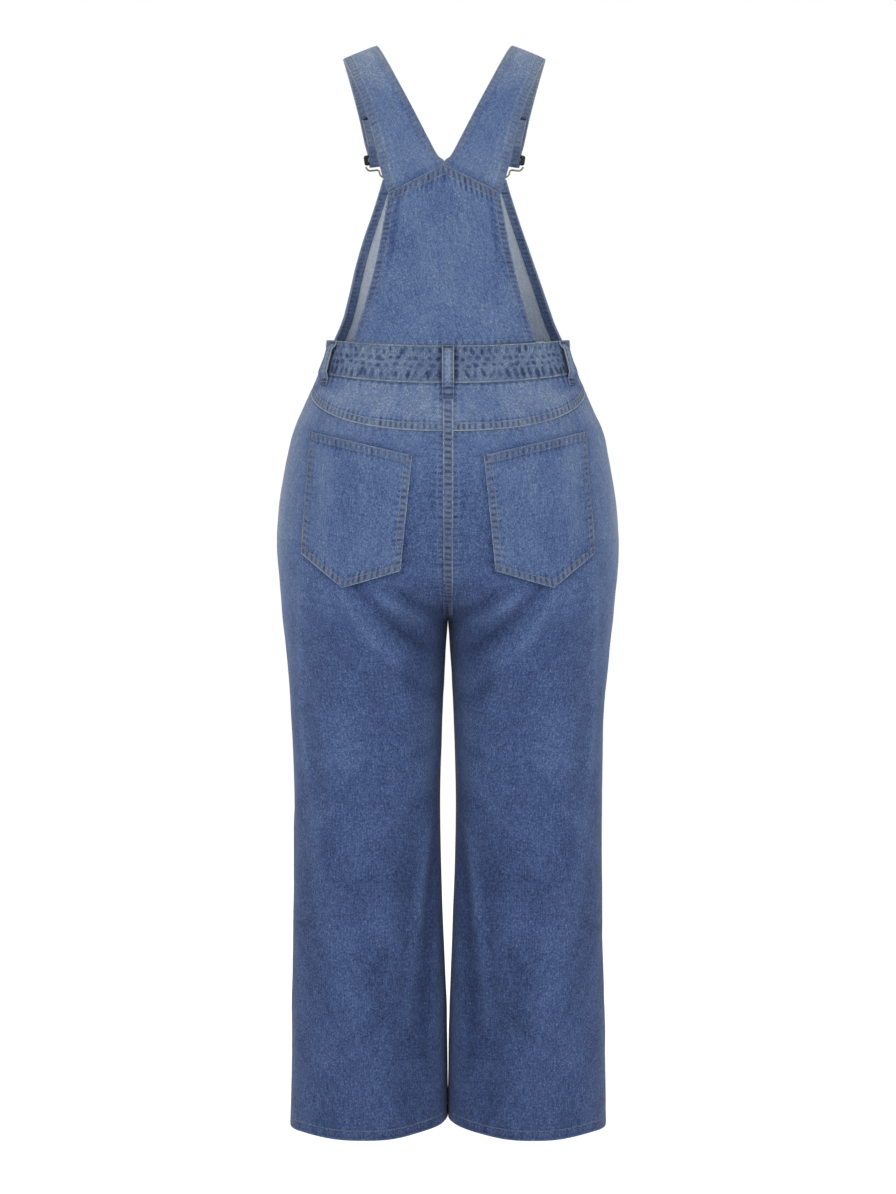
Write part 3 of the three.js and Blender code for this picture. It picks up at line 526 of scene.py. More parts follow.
class Piece:
    """A grid of points over one cloth piece. Rows go down and columns across, in millimetres."""

    def __init__(self, name, points, normals):
        self.name = name
        self.points = points
        self.normals = normals
        shape = points.shape[:2]
        across = np.linalg.norm(np.diff(points, axis=1), axis=-1)
        down = np.linalg.norm(np.diff(points, axis=0), axis=-1)
        self.across = np.concatenate([np.zeros((shape[0], 1)), np.cumsum(across, 1)], 1)
        self.down = np.concatenate([np.zeros((1, shape[1])), np.cumsum(down, 0)], 0)
        self.width = self.across[:, -1:]
        self.length = self.down[-1:, :]
        self.lift = np.zeros(shape)
        # ridge: lighter, or darker when negative, for worn lines and for painted light and shade on creases,
        # pleats and seams
        self.ridge = np.zeros(shape)
        self.tone = np.full(shape, 0.5)
        self.under_tone = np.zeros(shape)
        self.seam_away = np.full(shape, FAR)
        self.seam_next = np.full(shape, FAR)
        self.seam_run = np.zeros(shape)
        self.seam_force = np.zeros(shape)
        self.rows = []

    def from_edge(self, edge):
        """Each point's distance from an edge, and its distance along that edge."""
        still = 0 * self.down
        if edge == "left":
            return self.across, self.down[:, :1] + still
        if edge == "right":
            return self.width - self.across, self.down[:, -1:] + still
        if edge == "top":
            return self.down, self.across[:1] + still
        return self.length - self.down, self.across[-1:] + still

    def seam(self, edge, rows, width, period, force, high, seed, span):
        """Rows of stitches along an edge, and the cloth that they gather. span: the part that is sewn."""
        away, along = self.from_edge(edge)
        share = along / np.maximum(along.max(), 1)
        sewn = (smooth_step(share, span[0] - 0.012, span[0] + 0.001)
                * (1 - smooth_step(share, span[1] - 0.001, span[1] + 0.012)))
        run = along / period + 0.55 * noise(along / (2.3 * period), 0.5, seed) + 0.012 * away
        near = away / width
        closer = near < self.seam_away
        self.seam_next = np.where(closer, self.seam_away, np.minimum(self.seam_next, near))
        self.seam_away = np.where(closer, near, self.seam_away)
        self.seam_run = np.where(closer, run, self.seam_run)
        uneven = 0.8 + 0.45 * noise(along / 24, 7.5, seed + 3)
        self.seam_force = np.where(closer, force * sewn * uneven, self.seam_force)
        gathers = np.cos(2 * np.pi * run) * (0.75 + 0.35 * noise(along / (1.6 * period), 3.5, seed + 1))
        inside = smooth_step(near, 0, 0.3) * (1 - smooth_step(near, 0.8, 1.9))
        self.lift -= high * gathers * inside * sewn
        for row in rows:
            self.lift -= 0.3 * bell(away - row, 1.2) * sewn
            self.rows.append((edge, row, span))

    def stitch_lines(self):
        return [self.line(edge, row, *span) for edge, row, span in self.rows]

    def band(self, edge, low, high, ridge):
        """Makes a band between two distances from an edge lighter, or darker when the number is negative."""
        away, along = self.from_edge(edge)
        mask = smooth_step(away, low - 0.8, low + 0.8) * (1 - smooth_step(away, high - 0.8, high + 0.8))
        self.ridge += ridge * mask * (0.8 + 0.35 * noise(along / 7, away / 5, 71))

    def sew(self, place, seed, span=(0.0, 1.0)):
        """Adds the seams and the worn lines that the tables give for a place."""
        for row in SEAMS:
            if row["place"] == place:
                self.seam(row["edge"], row["rows"], row["width"], row["period"], row["force"], row["high"],
                          seed + row["shift"], span)
        for row in BANDS:
            if row["place"] == place:
                for edge in row["edges"].split():
                    self.band(edge, row["low"], row["high"], row["ridge"])

    def uneven(self, seed, broad=0.5, fine=0.12, scale=70):
        x, y = self.across / scale, self.down / scale
        self.lift += broad * (noise(x, y, seed) + 0.5 * noise(2.1 * x, 2.1 * y, seed + 1))
        self.lift += fine * noise(self.across / 9, self.down / 9, seed + 2)

    def surface(self):
        return self.points + self.normals * self.lift[..., None]

    def line(self, edge, at, start=0.0, end=1.0):
        """Points and ways out along a line at a distance from an edge, between two shares of its run."""
        surface = self.surface()
        away, along = self.from_edge(edge)
        share = along / np.maximum(along.max(), 1)
        if edge in ("left", "right"):
            grids, count = [away, share, surface, self.normals], surface.shape[0]
        else:
            grids = [away.T, share.T, surface.transpose(1, 0, 2), self.normals.transpose(1, 0, 2)]
            count = surface.shape[1]
        away, share, surface, normals = grids
        points, ways = [], []
        for i in range(count):
            order = np.argsort(away[i])
            j = np.clip(np.searchsorted(away[i][order], at), 1, len(order) - 1)
            a, b = order[j - 1], order[j]
            if not start <= share[i][a] <= end:
                continue
            t = np.clip((at - away[i][a]) / max(away[i][b] - away[i][a], 1e-6), 0, 1)
            points.append(surface[i][a] * (1 - t) + surface[i][b] * t)
            ways.append(normals[i][a] * (1 - t) + normals[i][b] * t)
        return np.array(points), np.array(ways)


def new_mesh(name, vertices, faces):
    """A smooth mesh from points in millimetres."""
    mesh = bpy.data.meshes.new(name)
    mesh.from_pydata((np.asarray(vertices) * MM).tolist(), [], faces)
    mesh.polygons.foreach_set("use_smooth", np.ones(len(faces), bool))
    mesh.update()
    return mesh


def set_cut(mesh, cut):
    """Gives each vertex its place on the flat cloth."""
    layer = mesh.uv_layers.new(name="UVMap")
    corners = np.empty(len(mesh.loops), int)
    mesh.loops.foreach_get("vertex_index", corners)
    layer.data.foreach_set("uv", cut[corners].reshape(-1))


def set_values(mesh, name, values):
    mesh.attributes.new(name, "FLOAT", "POINT").data.foreach_set("value", values)


def build_wall(piece, thickness, inside=None):
    """A closed mesh between the piece's outer and inner sides, with its place in the cut and its shades.

    inside: where the inner side has the second material.
    """
    rows, columns = piece.points.shape[:2]
    outer = piece.surface()
    thickness = np.broadcast_to(np.asarray(thickness, float), (rows, columns))
    inner = outer - piece.normals * thickness[..., None]
    vertices = np.concatenate([outer.reshape(-1, 3), inner.reshape(-1, 3)])
    index = np.arange(rows * columns).reshape(rows, columns)
    quads = np.stack([index[:-1, :-1], index[1:, :-1], index[1:, 1:], index[:-1, 1:]], -1).reshape(-1, 4)
    under = quads[:, ::-1] + rows * columns
    border = np.concatenate([index[0, :], index[1:, -1], index[-1, -2::-1], index[-2:0:-1, 0]])
    after = np.roll(border, -1)
    rim = np.stack([border, after, after + rows * columns, border + rows * columns], -1)
    faces = np.concatenate([quads, under, rim])
    if signed_volume(vertices, quads) < 0:
        faces = faces[:, ::-1]
    mesh = new_mesh(piece.name, vertices, faces.tolist())
    slots = np.zeros(len(faces), int)
    if inside is not None:
        cell = inside[:-1, :-1] & inside[1:, 1:] & inside[1:, :-1] & inside[:-1, 1:]
        slots[len(quads):2 * len(quads)] = cell.reshape(-1)
    mesh.polygons.foreach_set("material_index", slots)
    cut = np.stack([piece.across, -piece.down], -1).reshape(-1, 2) * MM
    set_cut(mesh, np.concatenate([cut, cut + INNER_CUT_SHIFT]))
    corner_fade = smooth_step(piece.seam_next - piece.seam_away, 0.02, 0.2)
    for name, values in (("tone", piece.tone), ("ridge", piece.ridge), ("seam_away", piece.seam_away),
                         ("seam_run", piece.seam_run), ("seam_force", piece.seam_force * corner_fade)):
        under = values + piece.under_tone if name == "tone" else values
        set_values(mesh, name, np.concatenate([values, under]).reshape(-1))
    return mesh


def signed_volume(vertices, quads):
    """Positive where the outer grid faces away from the piece's own inner side."""
    a, b, c, d = (vertices[quads[:, i]] for i in range(4))
    normal = np.cross(c - a, d - b)
    count = len(vertices) // 2
    inward = vertices[count:][quads[:, 0]] - vertices[:count][quads[:, 0]]
    return -np.sum(normal * inward)


def add_object(name, mesh, materials, nodes=()):
    thing = bpy.data.objects.new(name, mesh)
    bpy.context.scene.collection.objects.link(thing)
    for material in materials:
        mesh.materials.append(material)
    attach(thing, "root")
    if nodes:
        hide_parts(*nodes)
    return thing


def cut_area(piece):
    outer = piece.surface()
    diagonal_a = outer[1:, 1:] - outer[:-1, :-1]
    diagonal_b = outer[1:, :-1] - outer[:-1, 1:]
    return np.linalg.norm(np.cross(diagonal_a, diagonal_b), axis=-1).sum() / 2 * MM**2


def add_cloth(piece, thickness, materials, inside=None, stands_in=True):
    """Adds a cloth piece, mostly in place of its node."""
    nodes = [piece.name] if stands_in else []
    thing = add_object(piece.name, build_wall(piece, thickness, inside), materials, nodes)
    width, length = float(piece.width.max()) * MM, float(piece.length.max()) * MM
    area = min(float(cut_area(piece)), width * length)


# Materials

def srgb(red, green, blue):
    def linear(value):
        value /= 255
        return value / 12.92 if value <= 0.04045 else ((value + 0.055) / 1.055) ** 2.4
    return (linear(red), linear(green), linear(blue), 1.0)


class Nodes:
    """Short ways to make and join shader nodes."""

    def __init__(self, name):
        self.material = bpy.data.materials.new(name)
        self.material.use_nodes = True
        self.tree = self.material.node_tree
        self.shader = self.tree.nodes["Principled BSDF"]

    def add(self, kind, settings=None, **inputs):
        node = self.tree.nodes.new(kind)
        for key, value in (settings or {}).items():
            setattr(node, key, value)
        for key, value in inputs.items():
            socket = node.inputs[int(key[1:])] if key[0] == "i" and key[1:].isdigit() else node.inputs[key]
            self.put(value, socket)
        return node

    def put(self, value, socket):
        if isinstance(value, bpy.types.NodeSocket):
            self.tree.links.new(value, socket)
        else:
            socket.default_value = value

    def math(self, operation, a, b=0.0, clamp=False):
        node = self.add("ShaderNodeMath", {"operation": operation, "use_clamp": clamp}, i0=a, i1=b)
        return node.outputs[0]

    def noise(self, vector, scale, detail=2.0, rough=0.5):
        node = self.add("ShaderNodeTexNoise", Vector=vector, Scale=scale, Detail=detail, Roughness=rough)
        return node.outputs["Fac"]

    def mapped(self, vector, scale, rotation=(0, 0, 0)):
        node = self.add("ShaderNodeMapping", Vector=vector, Scale=scale, Rotation=rotation)
        return node.outputs["Vector"]

    def ramp(self, factor, stops):
        node = self.add("ShaderNodeValToRGB", Fac=factor)
        elements = node.color_ramp.elements
        while len(elements) < len(stops):
            elements.new(0.5)
        for element, (position, colour) in zip(elements, stops):
            element.position = position
            element.color = colour
        return node.outputs["Color"]


# The studio's light lifts the cloth's own colours by this much
LIGHT_GAIN = 1.46


def cloth_colour(red, green, blue):
    return (*(value / LIGHT_GAIN for value in srgb(red, green, blue)[:3]), 1.0)


DENIM_RAMP = [
    (0.0, cloth_colour(32, 44, 78)),
    (0.25, cloth_colour(55, 73, 116)),
    (0.5, cloth_colour(84, 106, 151)),
    (0.75, cloth_colour(117, 136, 167)),
    (1.0, cloth_colour(164, 175, 188)),
]
BAND_RAMP = [
    (0.0, cloth_colour(34, 44, 72)),
    (0.25, cloth_colour(58, 74, 110)),
    (0.5, cloth_colour(84, 102, 138)),
    (0.75, cloth_colour(113, 131, 159)),
    (1.0, cloth_colour(156, 169, 184)),
]
WRONG_SIDE_RAMP = [
    (0.0, cloth_colour(106, 123, 160)),
    (0.5, cloth_colour(156, 171, 204)),
    (1.0, cloth_colour(212, 222, 234)),
]


def denim_material(name, ramp, fleck=1.0, worn=(118, 126, 134), worn_share=0.1, ragged=0.0):
    """Washed twill: a tone for each place, flecks, warp streaks, worn lines with painted light and shade
    from the ridge values, gathered seams and the weave.

    worn, worn_share: colour of sewn bands and how far they take it. ragged: how unevenly gathers end.
    """
    n = Nodes(name)
    cut = n.add("ShaderNodeUVMap", {"uv_map": "UVMap"}).outputs["UV"]

    def given(attribute):
        return n.add("ShaderNodeAttribute", {"attribute_name": attribute}).outputs["Fac"]

    def swing(value, amount):
        return n.math("MULTIPLY", n.math("SUBTRACT", value, 0.5), amount)

    def rise(value, low, high):
        node = n.add("ShaderNodeMapRange", {"interpolation_type": "SMOOTHSTEP"}, i0=value, i1=low, i2=high)
        return node.outputs[0]

    def fall(value, low, high):
        return n.math("SUBTRACT", 1.0, rise(value, low, high))

    def total(*values):
        result = values[0]
        for value in values[1:]:
            result = n.math("ADD", result, value)
        return result

    def product(*values):
        result = values[0]
        for value in values[1:]:
            result = n.math("MULTIPLY", result, value)
        return result

    def over_cut(across, down, detail, rough, turn=0.0):
        """Noise with so many bumps for each metre of the cut."""
        return n.noise(n.mapped(cut, (across, down, 1), (0, 0, turn)), 1.0, detail, rough)

    away, run, force = given("seam_away"), given("seam_run"), given("seam_force")
    wave = n.math("COSINE", n.math("MULTIPLY", run, 2 * math.pi))
    each = n.add("ShaderNodeTexNoise", {"noise_dimensions": "1D"}, W=run, Scale=1.1, Detail=1.0)
    each = each.outputs["Fac"]
    reach = total(away, swing(each, -2.4 * ragged))
    between = n.math("MULTIPLY", rise(away, 0.1, 0.24), fall(reach, 0.8, 0.98))
    beyond = product(rise(away, 0.98, 1.1), fall(away, 1.15, 2.0))
    stroke = product(rise(wave, -0.3, 0.7), total(0.1, n.math("MULTIPLY", each, 1.8)))
    gathers = total(product(between, total(product(stroke, -0.43), 0.04)), product(beyond, stroke, -0.2))
    edge_line = product(fall(away, 0.06, 0.17), 0.36)
    far_line = product(rise(away, 0.9, 0.99), fall(away, 1.03, 1.1), 0.16)
    lines = total(edge_line, far_line)
    seams = product(force, total(gathers, lines))

    flecks = over_cut(430, 330, 2.0, 0.65)
    worms = n.math("ABSOLUTE", n.math("SUBTRACT", over_cut(310, 240, 1.0, 0.5), 0.5))
    streaks = over_cut(1000, 60, 2.0, 0.55)
    clouds = over_cut(24, 16, 3.0, 0.6)
    grains = over_cut(560, 720, 2.0, 0.7, turn=0.5)
    mottle = over_cut(150, 120, 2.0, 0.6)
    value = total(
        given("tone"), swing(flecks, 0.66 * fleck), product(rise(flecks, 0.45, 0.85), 0.08 * fleck),
        swing(grains, 0.75 * fleck), product(fall(worms, 0.0, 0.06), 0.12 * fleck), -0.055 * fleck,
        swing(mottle, 0.28 * fleck), swing(streaks, 0.5 * fleck), swing(clouds, 0.34),
        product(given("ridge"), 0.13),
    )
    value = n.math("ADD", value, seams, clamp=True)
    plain = total(1.0, product(stroke, -0.3))
    greyed = n.math("MULTIPLY", product(between, force, plain), worn_share, clamp=True)
    mix = n.add("ShaderNodeMix", {"data_type": "RGBA"}, i0=greyed, i6=n.ramp(value, ramp),
                i7=cloth_colour(*worn))
    n.put(mix.outputs[2], n.shader.inputs["Base Color"])

    slant = n.mapped(cut, (1, 1, 1), (0, 0, TWILL_ANGLE))
    twill = n.add("ShaderNodeTexWave", {"wave_type": "BANDS", "bands_direction": "X", "wave_profile": "SIN"},
                  Vector=slant, Scale=290.0, Distortion=0.6, Detail=1.0)
    height = total(product(twill.outputs["Fac"], 0.35), product(flecks, 0.9))
    bump = n.add("ShaderNodeBump", Strength=0.4, Distance=0.0006, Height=height)
    n.put(bump.outputs["Normal"], n.shader.inputs["Normal"])
    n.put(total(0.82, product(flecks, 0.14)), n.shader.inputs["Roughness"])
    n.shader.inputs["Specular IOR Level"].default_value = 0.18
    n.shader.inputs["Sheen Weight"].default_value = 0.05
    n.shader.inputs["Sheen Roughness"].default_value = 0.5
    return n.material


def thread_material(name, dark, light):
    n = Nodes(name)
    place = n.add("ShaderNodeTexCoord").outputs["Object"]
    mottle = n.noise(place, 260.0, 2.0)
    n.put(n.ramp(mottle, [(0.3, dark), (0.7, light)]), n.shader.inputs["Base Color"])
    fibres = n.noise(place, 2600.0, 2.0)
    bump = n.add("ShaderNodeBump", Strength=0.4, Distance=0.0002, Height=fibres)
    n.put(bump.outputs["Normal"], n.shader.inputs["Normal"])
    n.shader.inputs["Roughness"].default_value = 0.7
    n.shader.inputs["Specular IOR Level"].default_value = 0.25
    return n.material


def metal_material(name, dark, light, metallic, rough):
    n = Nodes(name)
    place = n.add("ShaderNodeTexCoord").outputs["Object"]
    mottle = n.noise(place, 420.0, 4.0, 0.6)
    n.put(n.ramp(mottle, [(0.3, dark), (0.7, light)]), n.shader.inputs["Base Color"])
    scratches = n.noise(n.mapped(place, (900, 900, 160)), 1.0, 3.0)
    n.put(n.math("ADD", rough, n.math("MULTIPLY", n.math("SUBTRACT", scratches, 0.5), 0.25)),
          n.shader.inputs["Roughness"])
    bump = n.add("ShaderNodeBump", Strength=0.12, Distance=0.0001, Height=scratches)
    n.put(bump.outputs["Normal"], n.shader.inputs["Normal"])
    n.shader.inputs["Metallic"].default_value = metallic
    return n.material


OUTSIDE = denim_material("denim_outside", DENIM_RAMP, worn=(112, 121, 132), worn_share=0.4)
BAND_SIDE = denim_material("denim_band", BAND_RAMP, ragged=0.5)
STRAP_SIDE = denim_material("denim_strap", DENIM_RAMP, fleck=0.82, worn=(108, 119, 132), worn_share=0.9)
WRONG_SIDE = denim_material("denim_wrong_side", WRONG_SIDE_RAMP, fleck=1.2, worn_share=0.0)
THREAD = thread_material("thread_khaki", cloth_colour(94, 99, 104), cloth_colour(148, 149, 146))
TACK_THREAD = thread_material("thread_grey", cloth_colour(58, 66, 86), cloth_colour(100, 106, 118))
LOOP_THREAD = thread_material("thread_blue", cloth_colour(60, 70, 90), cloth_colour(104, 112, 124))
BLACK_METAL = metal_material("slide_black", srgb(14, 14, 17), srgb(30, 30, 34), 0.35, 0.2)
WIRE_METAL = metal_material("hook_wire", srgb(112, 108, 100), srgb(160, 156, 148), 1.0, 0.3)
BUTTON_METAL = metal_material("button_bronze", srgb(112, 104, 88), srgb(156, 148, 130), 1.0, 0.36)


# Camera, light and floor

def look_at_garment():
    camera = bpy.data.cameras.new("camera")
    camera.sensor_width = SENSOR
    camera.lens = FOCAL_PIXELS * SENSOR / IMAGE_HEIGHT
    thing = bpy.data.objects.new("camera", camera)
    thing.location = (0, CAMERA_DISTANCE, CAMERA_HEIGHT)
    thing.rotation_euler = (math.pi / 2 - CAMERA_TILT, 0, math.pi)
    bpy.context.scene.collection.objects.link(thing)
    bpy.context.scene.camera = thing


def area_light(name, place, power):
    light = bpy.data.lights.new(name, "AREA")
    light.shape = "DISK"
    light.size = LIGHT_SIZE
    light.energy = power
    thing = bpy.data.objects.new(name, light)
    thing.location = place
    thing.rotation_mode = "QUATERNION"
    thing.rotation_quaternion = (Vector(LIGHT_TARGET) - Vector(place)).to_track_quat("-Z", "Y")
    bpy.context.scene.collection.objects.link(thing)


def set_stage():
    world = bpy.data.worlds.new("studio")
    world.use_nodes = True
    world.node_tree.nodes["Background"].inputs["Color"].default_value = (1, 1, 1, 1)
    world.node_tree.nodes["Background"].inputs["Strength"].default_value = 1.0
    bpy.context.scene.world = world
    bpy.context.scene.view_settings.view_transform = "Standard"
    for name, place, power in LIGHTS:
        area_light(name, place, power)
    n = Nodes("floor_pale")
    n.shader.inputs["Base Color"].default_value = (0.93, 0.93, 0.93, 1)
    n.shader.inputs["Roughness"].default_value = 1.0
    n.shader.inputs["Specular IOR Level"].default_value = 0.0
    n.shader.inputs["Emission Color"].default_value = (1, 1, 1, 1)
    n.shader.inputs["Emission Strength"].default_value = 0.08
    bpy.ops.mesh.primitive_circle_add(vertices=96, radius=FLOOR_RADIUS, fill_type="NGON",
                                      location=(0, 0, HEM_Z * MM - FLOOR_BELOW_HEM))
    floor = bpy.context.object
    floor.name = "floor"
    floor.data.materials.append(n.material)


# Tones by place

LEG_TONE = table(
    "z tone side_light",
    (-406, 0.64, 0.04),
    (-480, 0.57, 0.17),
    (-560, 0.5, 0.33),
    (-640, 0.43, 0.33),
    (-720, 0.35, 0.22),
    (-820, 0.35, 0.08),
    (-960, 0.33, 0.02),
    (-1100, 0.305, 0.01),
    (-1250, 0.29, 0.02),
    (-1352, 0.3, 0.02),
)

# Faded patches of the back, and darker ones; those by the middle of the seat are painted shade where the
# cloth dips between the buttocks. x is for both sides
PATCHES = table(
    "x z wide tall light",
    (132, -877, 34, 50, 0.05),
    (127, -1150, 34, 60, 0.05),
    (160, -1265, 30, 50, 0.05),
    (93, -1140, 22, 34, -0.02),
    (50, -600, 26, 70, -0.05),
    (24, -560, 18, 60, -0.08),
    (110, -700, 60, 26, 0.05),
    (60, -860, 40, 60, 0.03),
)


def pocket_shade(x, z):
    """From 0 to 1, the painted shadow just outside a back pocket."""
    corners = [*POCKET_TOP, *POCKET_BOTTOM[::-1]]
    nearest = np.full(x.shape, 1e9)
    for (ax, az), (bx, bz) in zip(corners, corners[1:] + corners[:1]):
        way = np.array([bx - ax, bz - az], float)
        part = np.clip(((x - ax) * way[0] + (z - az) * way[1]) / np.dot(way, way), 0, 1)
        nearest = np.minimum(nearest, np.hypot(x - ax - part * way[0], z - az - part * way[1]))
    return bell(nearest, 5.5)


def leg_tone(face, turn, x, z):
    """Lighter along the outer sides, partly as wash fade and partly as painted light, and faded at the seat,
    with painted shade at the crotch and painted light down the inner sides of the lower legs.
    """
    tone = curve_value(LEG_TONE, "tone", z)
    outer = bell(turn, 0.24)
    inner = smooth_step(turn, 0.66, 1.0)
    crotch = bell(z - CROTCH_Z + 2, 44) * smooth_step(turn, 0.4, 1.0)
    leg = smooth_step(-z, 700, 800)
    total = tone + curve_value(LEG_TONE, "side_light", z) * outer + 0.11 * inner * leg - 0.08 * crotch
    if face > 0:
        for patch in PATCHES:
            across = bell(np.abs(x) - patch["x"], patch["wide"])
            total = total + patch["light"] * across * bell(z - patch["z"], patch["tall"])
        total = total - 0.13 * pocket_shade(np.abs(x), z)
    return total


# Leg panels, yokes, waistband, pockets

def rows_between(top, bottom, shares):
    """A grid whose rows go from one curve's values to another's, by shares of the way."""
    return top[None, :] + (bottom - top)[None, :] * shares[:, None]


def row_steps(*stretches):
    """Numbers from stretch to stretch, each given as a start, an end and a step."""
    parts = []
    for start, end, step in stretches:
        count = max(int(round(abs(end - start) / step)), 1)
        parts.append(np.linspace(start, end, count, endpoint=False))
    return np.concatenate([*parts, [stretches[-1][1]]])


def leg_panel(side, name, face):
    turns = row_steps((0, 0.06, 0.0075), (0.06, 0.9, 0.014), (0.9, 1, 0.0077))
    shares = row_steps((0, 0.3, 0.002), (0.3, 0.965, 0.0062), (0.965, 1, 0.002))
    top = (yoke_seam(turns) if face > 0 else band_bottom(face, turns)) - SEAM
    bottom = hem_at(turns)
    z = rows_between(top, bottom, shares)
    z = z + (CROTCH_Z - z) * bell(z - CROTCH_Z, 1.2) * 0.9
    turn = np.broadcast_to(turns, z.shape)
    points, normals = cloth(side, face, turn, z)
    points[:, 0, 1] = 0
    points[:, -1, 0] = np.where(z[:, -1] > CROTCH_Z, 0, points[:, -1, 0])
    points[:, -1, 1] = np.where(z[:, -1] > CROTCH_Z, points[:, -1, 1], 0)
    piece = Piece(f"{'back' if face > 0 else 'front'}_leg_{name}", points, normals)
    creases = crease_height(face, points[..., 0], z)
    seed = 11 + 7 * face + 3 * side
    piece.uneven(seed, broad=1.0, fine=0.1, scale=85)
    crotch_share = float((CROTCH_Z - top[-1]) / (bottom[-1] - top[-1]))
    if face > 0:
        piece.sew("back_leg_middle", seed, (0, crotch_share))
        piece.sew("back_leg_top", seed)
        piece.seam_away = np.maximum(piece.seam_away, BARE_EDGE)
    else:
        piece.sew(f"front_leg_{name}_middle", seed, (0, crotch_share))
        piece.sew("front_leg_top", seed)
    piece.sew("hem", seed)
    away, along = piece.from_edge("left")
    piece.lift += 0.25 * smooth_step(ALLOWANCE - away, 0, 3) * smooth_step(-z, 430, 480)
    # Lighter lines along the side seam and over the allowance inside it: wear on the raised cloth, with a
    # painted highlight
    piece.ridge += 0.35 * bell(away, 2.0)
    allowance = bell(away - ALLOWANCE, 1.6) * smooth_step(-z, 480, 560)
    piece.ridge += 0.5 * allowance * (0.7 + 0.3 * noise(along / 30, 0.5, seed + 5))
    # Painted light and shade on the creases and broad folds: lighter on their crests, darker in their
    # troughs
    piece.ridge += 0.62 * creases + 0.1 * fold_height(side, face, turn, z)
    piece.lift += 1.4 * creases
    piece.tone = leg_tone(face, turn, points[..., 0], z)
    piece.lift *= 1 - smooth_step(turn, 0.97, 1.0) * smooth_step(-z, 560, 660)
    turned = piece.length - piece.down < HEM_DEPTH
    add_cloth(piece, DENIM + HEM_EXTRA * turned, [OUTSIDE, WRONG_SIDE],
              inside=~turned)
    return piece


def yoke_piece(side, name):
    turns = row_steps((0, 0.94, 0.0095), (0.94, 1, 0.007))
    shares = np.linspace(0, 1, 38)
    top, bottom = band_bottom(1, turns) - SEAM, yoke_seam(turns)
    z = rows_between(top, bottom, shares)
    points, normals = cloth(side, 1, np.broadcast_to(turns, z.shape), z, YOKE_OUT)
    piece = Piece(f"yoke_{name}", points, normals)
    seed = 201 + side
    piece.uneven(seed, broad=0.4, fine=0.12, scale=45)
    piece.sew("yoke", seed)
    clouds = 0.07 * noise(piece.across / 35, piece.down / 30, seed + 5)
    # Painted shadow beside the belt loops
    piece.tone = 0.66 + clouds - 0.2 * loop_shadow(points)
    add_cloth(piece, DENIM + YOKE_OUT, [OUTSIDE, WRONG_SIDE],
              inside=np.ones(z.shape, bool))
    return piece


def across_columns(count):
    """Columns from the left side seam over the middle to the right side seam."""
    turns = np.linspace(0, 1, count)
    sides = np.concatenate([np.ones(count), -np.ones(count - 1)]).astype(int)
    return sides, np.concatenate([turns, turns[-2::-1]])


def blots(piece, seed):
    """Small dark hollows in uneven rows along a band, with tall ones along its lower edge, from 0 to 1."""
    away, along = piece.from_edge("top")
    height = float(piece.length.mean())
    rng = np.random.default_rng(seed)
    total = np.zeros(away.shape)
    for row in BLOT_ROWS:
        for place in np.arange(0, along.max(), row["pitch"]):
            size, dark, tilt = rng.uniform(0.7, 1.25), rng.uniform(0.45, 1), rng.normal(0, 0.22)
            x = along - place - rng.normal(0, 0.16) * row["pitch"]
            z = away - (row["at"] + rng.normal(0, 0.02)) * height
            x = x - tilt * z
            near = np.hypot(x / (row["wide"] * size), z / (row["tall"] * size))
            total = np.maximum(total, dark * smooth_step(1.35 - near, 0, 0.8))
    return total


def loop_shadow(points):
    """From 0 to 1, the painted shadow next to the belt loops: a broad soft one and a narrow one along their
    edges.
    """
    total = np.zeros(points.shape[:-1])
    for loop in LOOPS:
        part = np.clip((loop["top"] - points[..., 2]) / (loop["top"] - loop["bottom"]), 0, 1)
        across = points[..., 0] - loop["x"] - loop["lean"] * part
        down = smooth_step(points[..., 2], loop["bottom"] - 10, loop["bottom"])
        contact_shadow = bell(np.abs(across) - LOOP_HALF - 1, 1.8)
        total += (0.8 * bell(across, 15) + 0.9 * contact_shadow) * down
    return total


def waistband(face, name):
    side, turn = across_columns(210)
    shares = np.linspace(0, 1, 44)
    top, bottom = band_top(face, turn), band_bottom(face, turn)
    z = rows_between(top, bottom, shares)
    points, normals = cloth(side, face, turn, z, BAND_OUT)
    piece = Piece(name, points, normals)
    seed = 301 + face
    piece.uneven(seed, broad=0.35, fine=0.15, scale=30)
    marks = blots(piece, seed + 2)
    piece.lift -= 0.5 * marks
    piece.ridge += 0.9 - 3.6 * marks
    piece.sew("waistband", seed)
    away, along = piece.from_edge("top")
    piece.tone = 0.57 + 0.05 * noise(along / 60, away / 60, seed + 7)
    # Painted shadow beside the belt loops
    if face > 0:
        piece.tone -= 0.16 * loop_shadow(points)
    add_cloth(piece, DENIM + BAND_OUT, [BAND_SIDE, BAND_SIDE])
    return piece


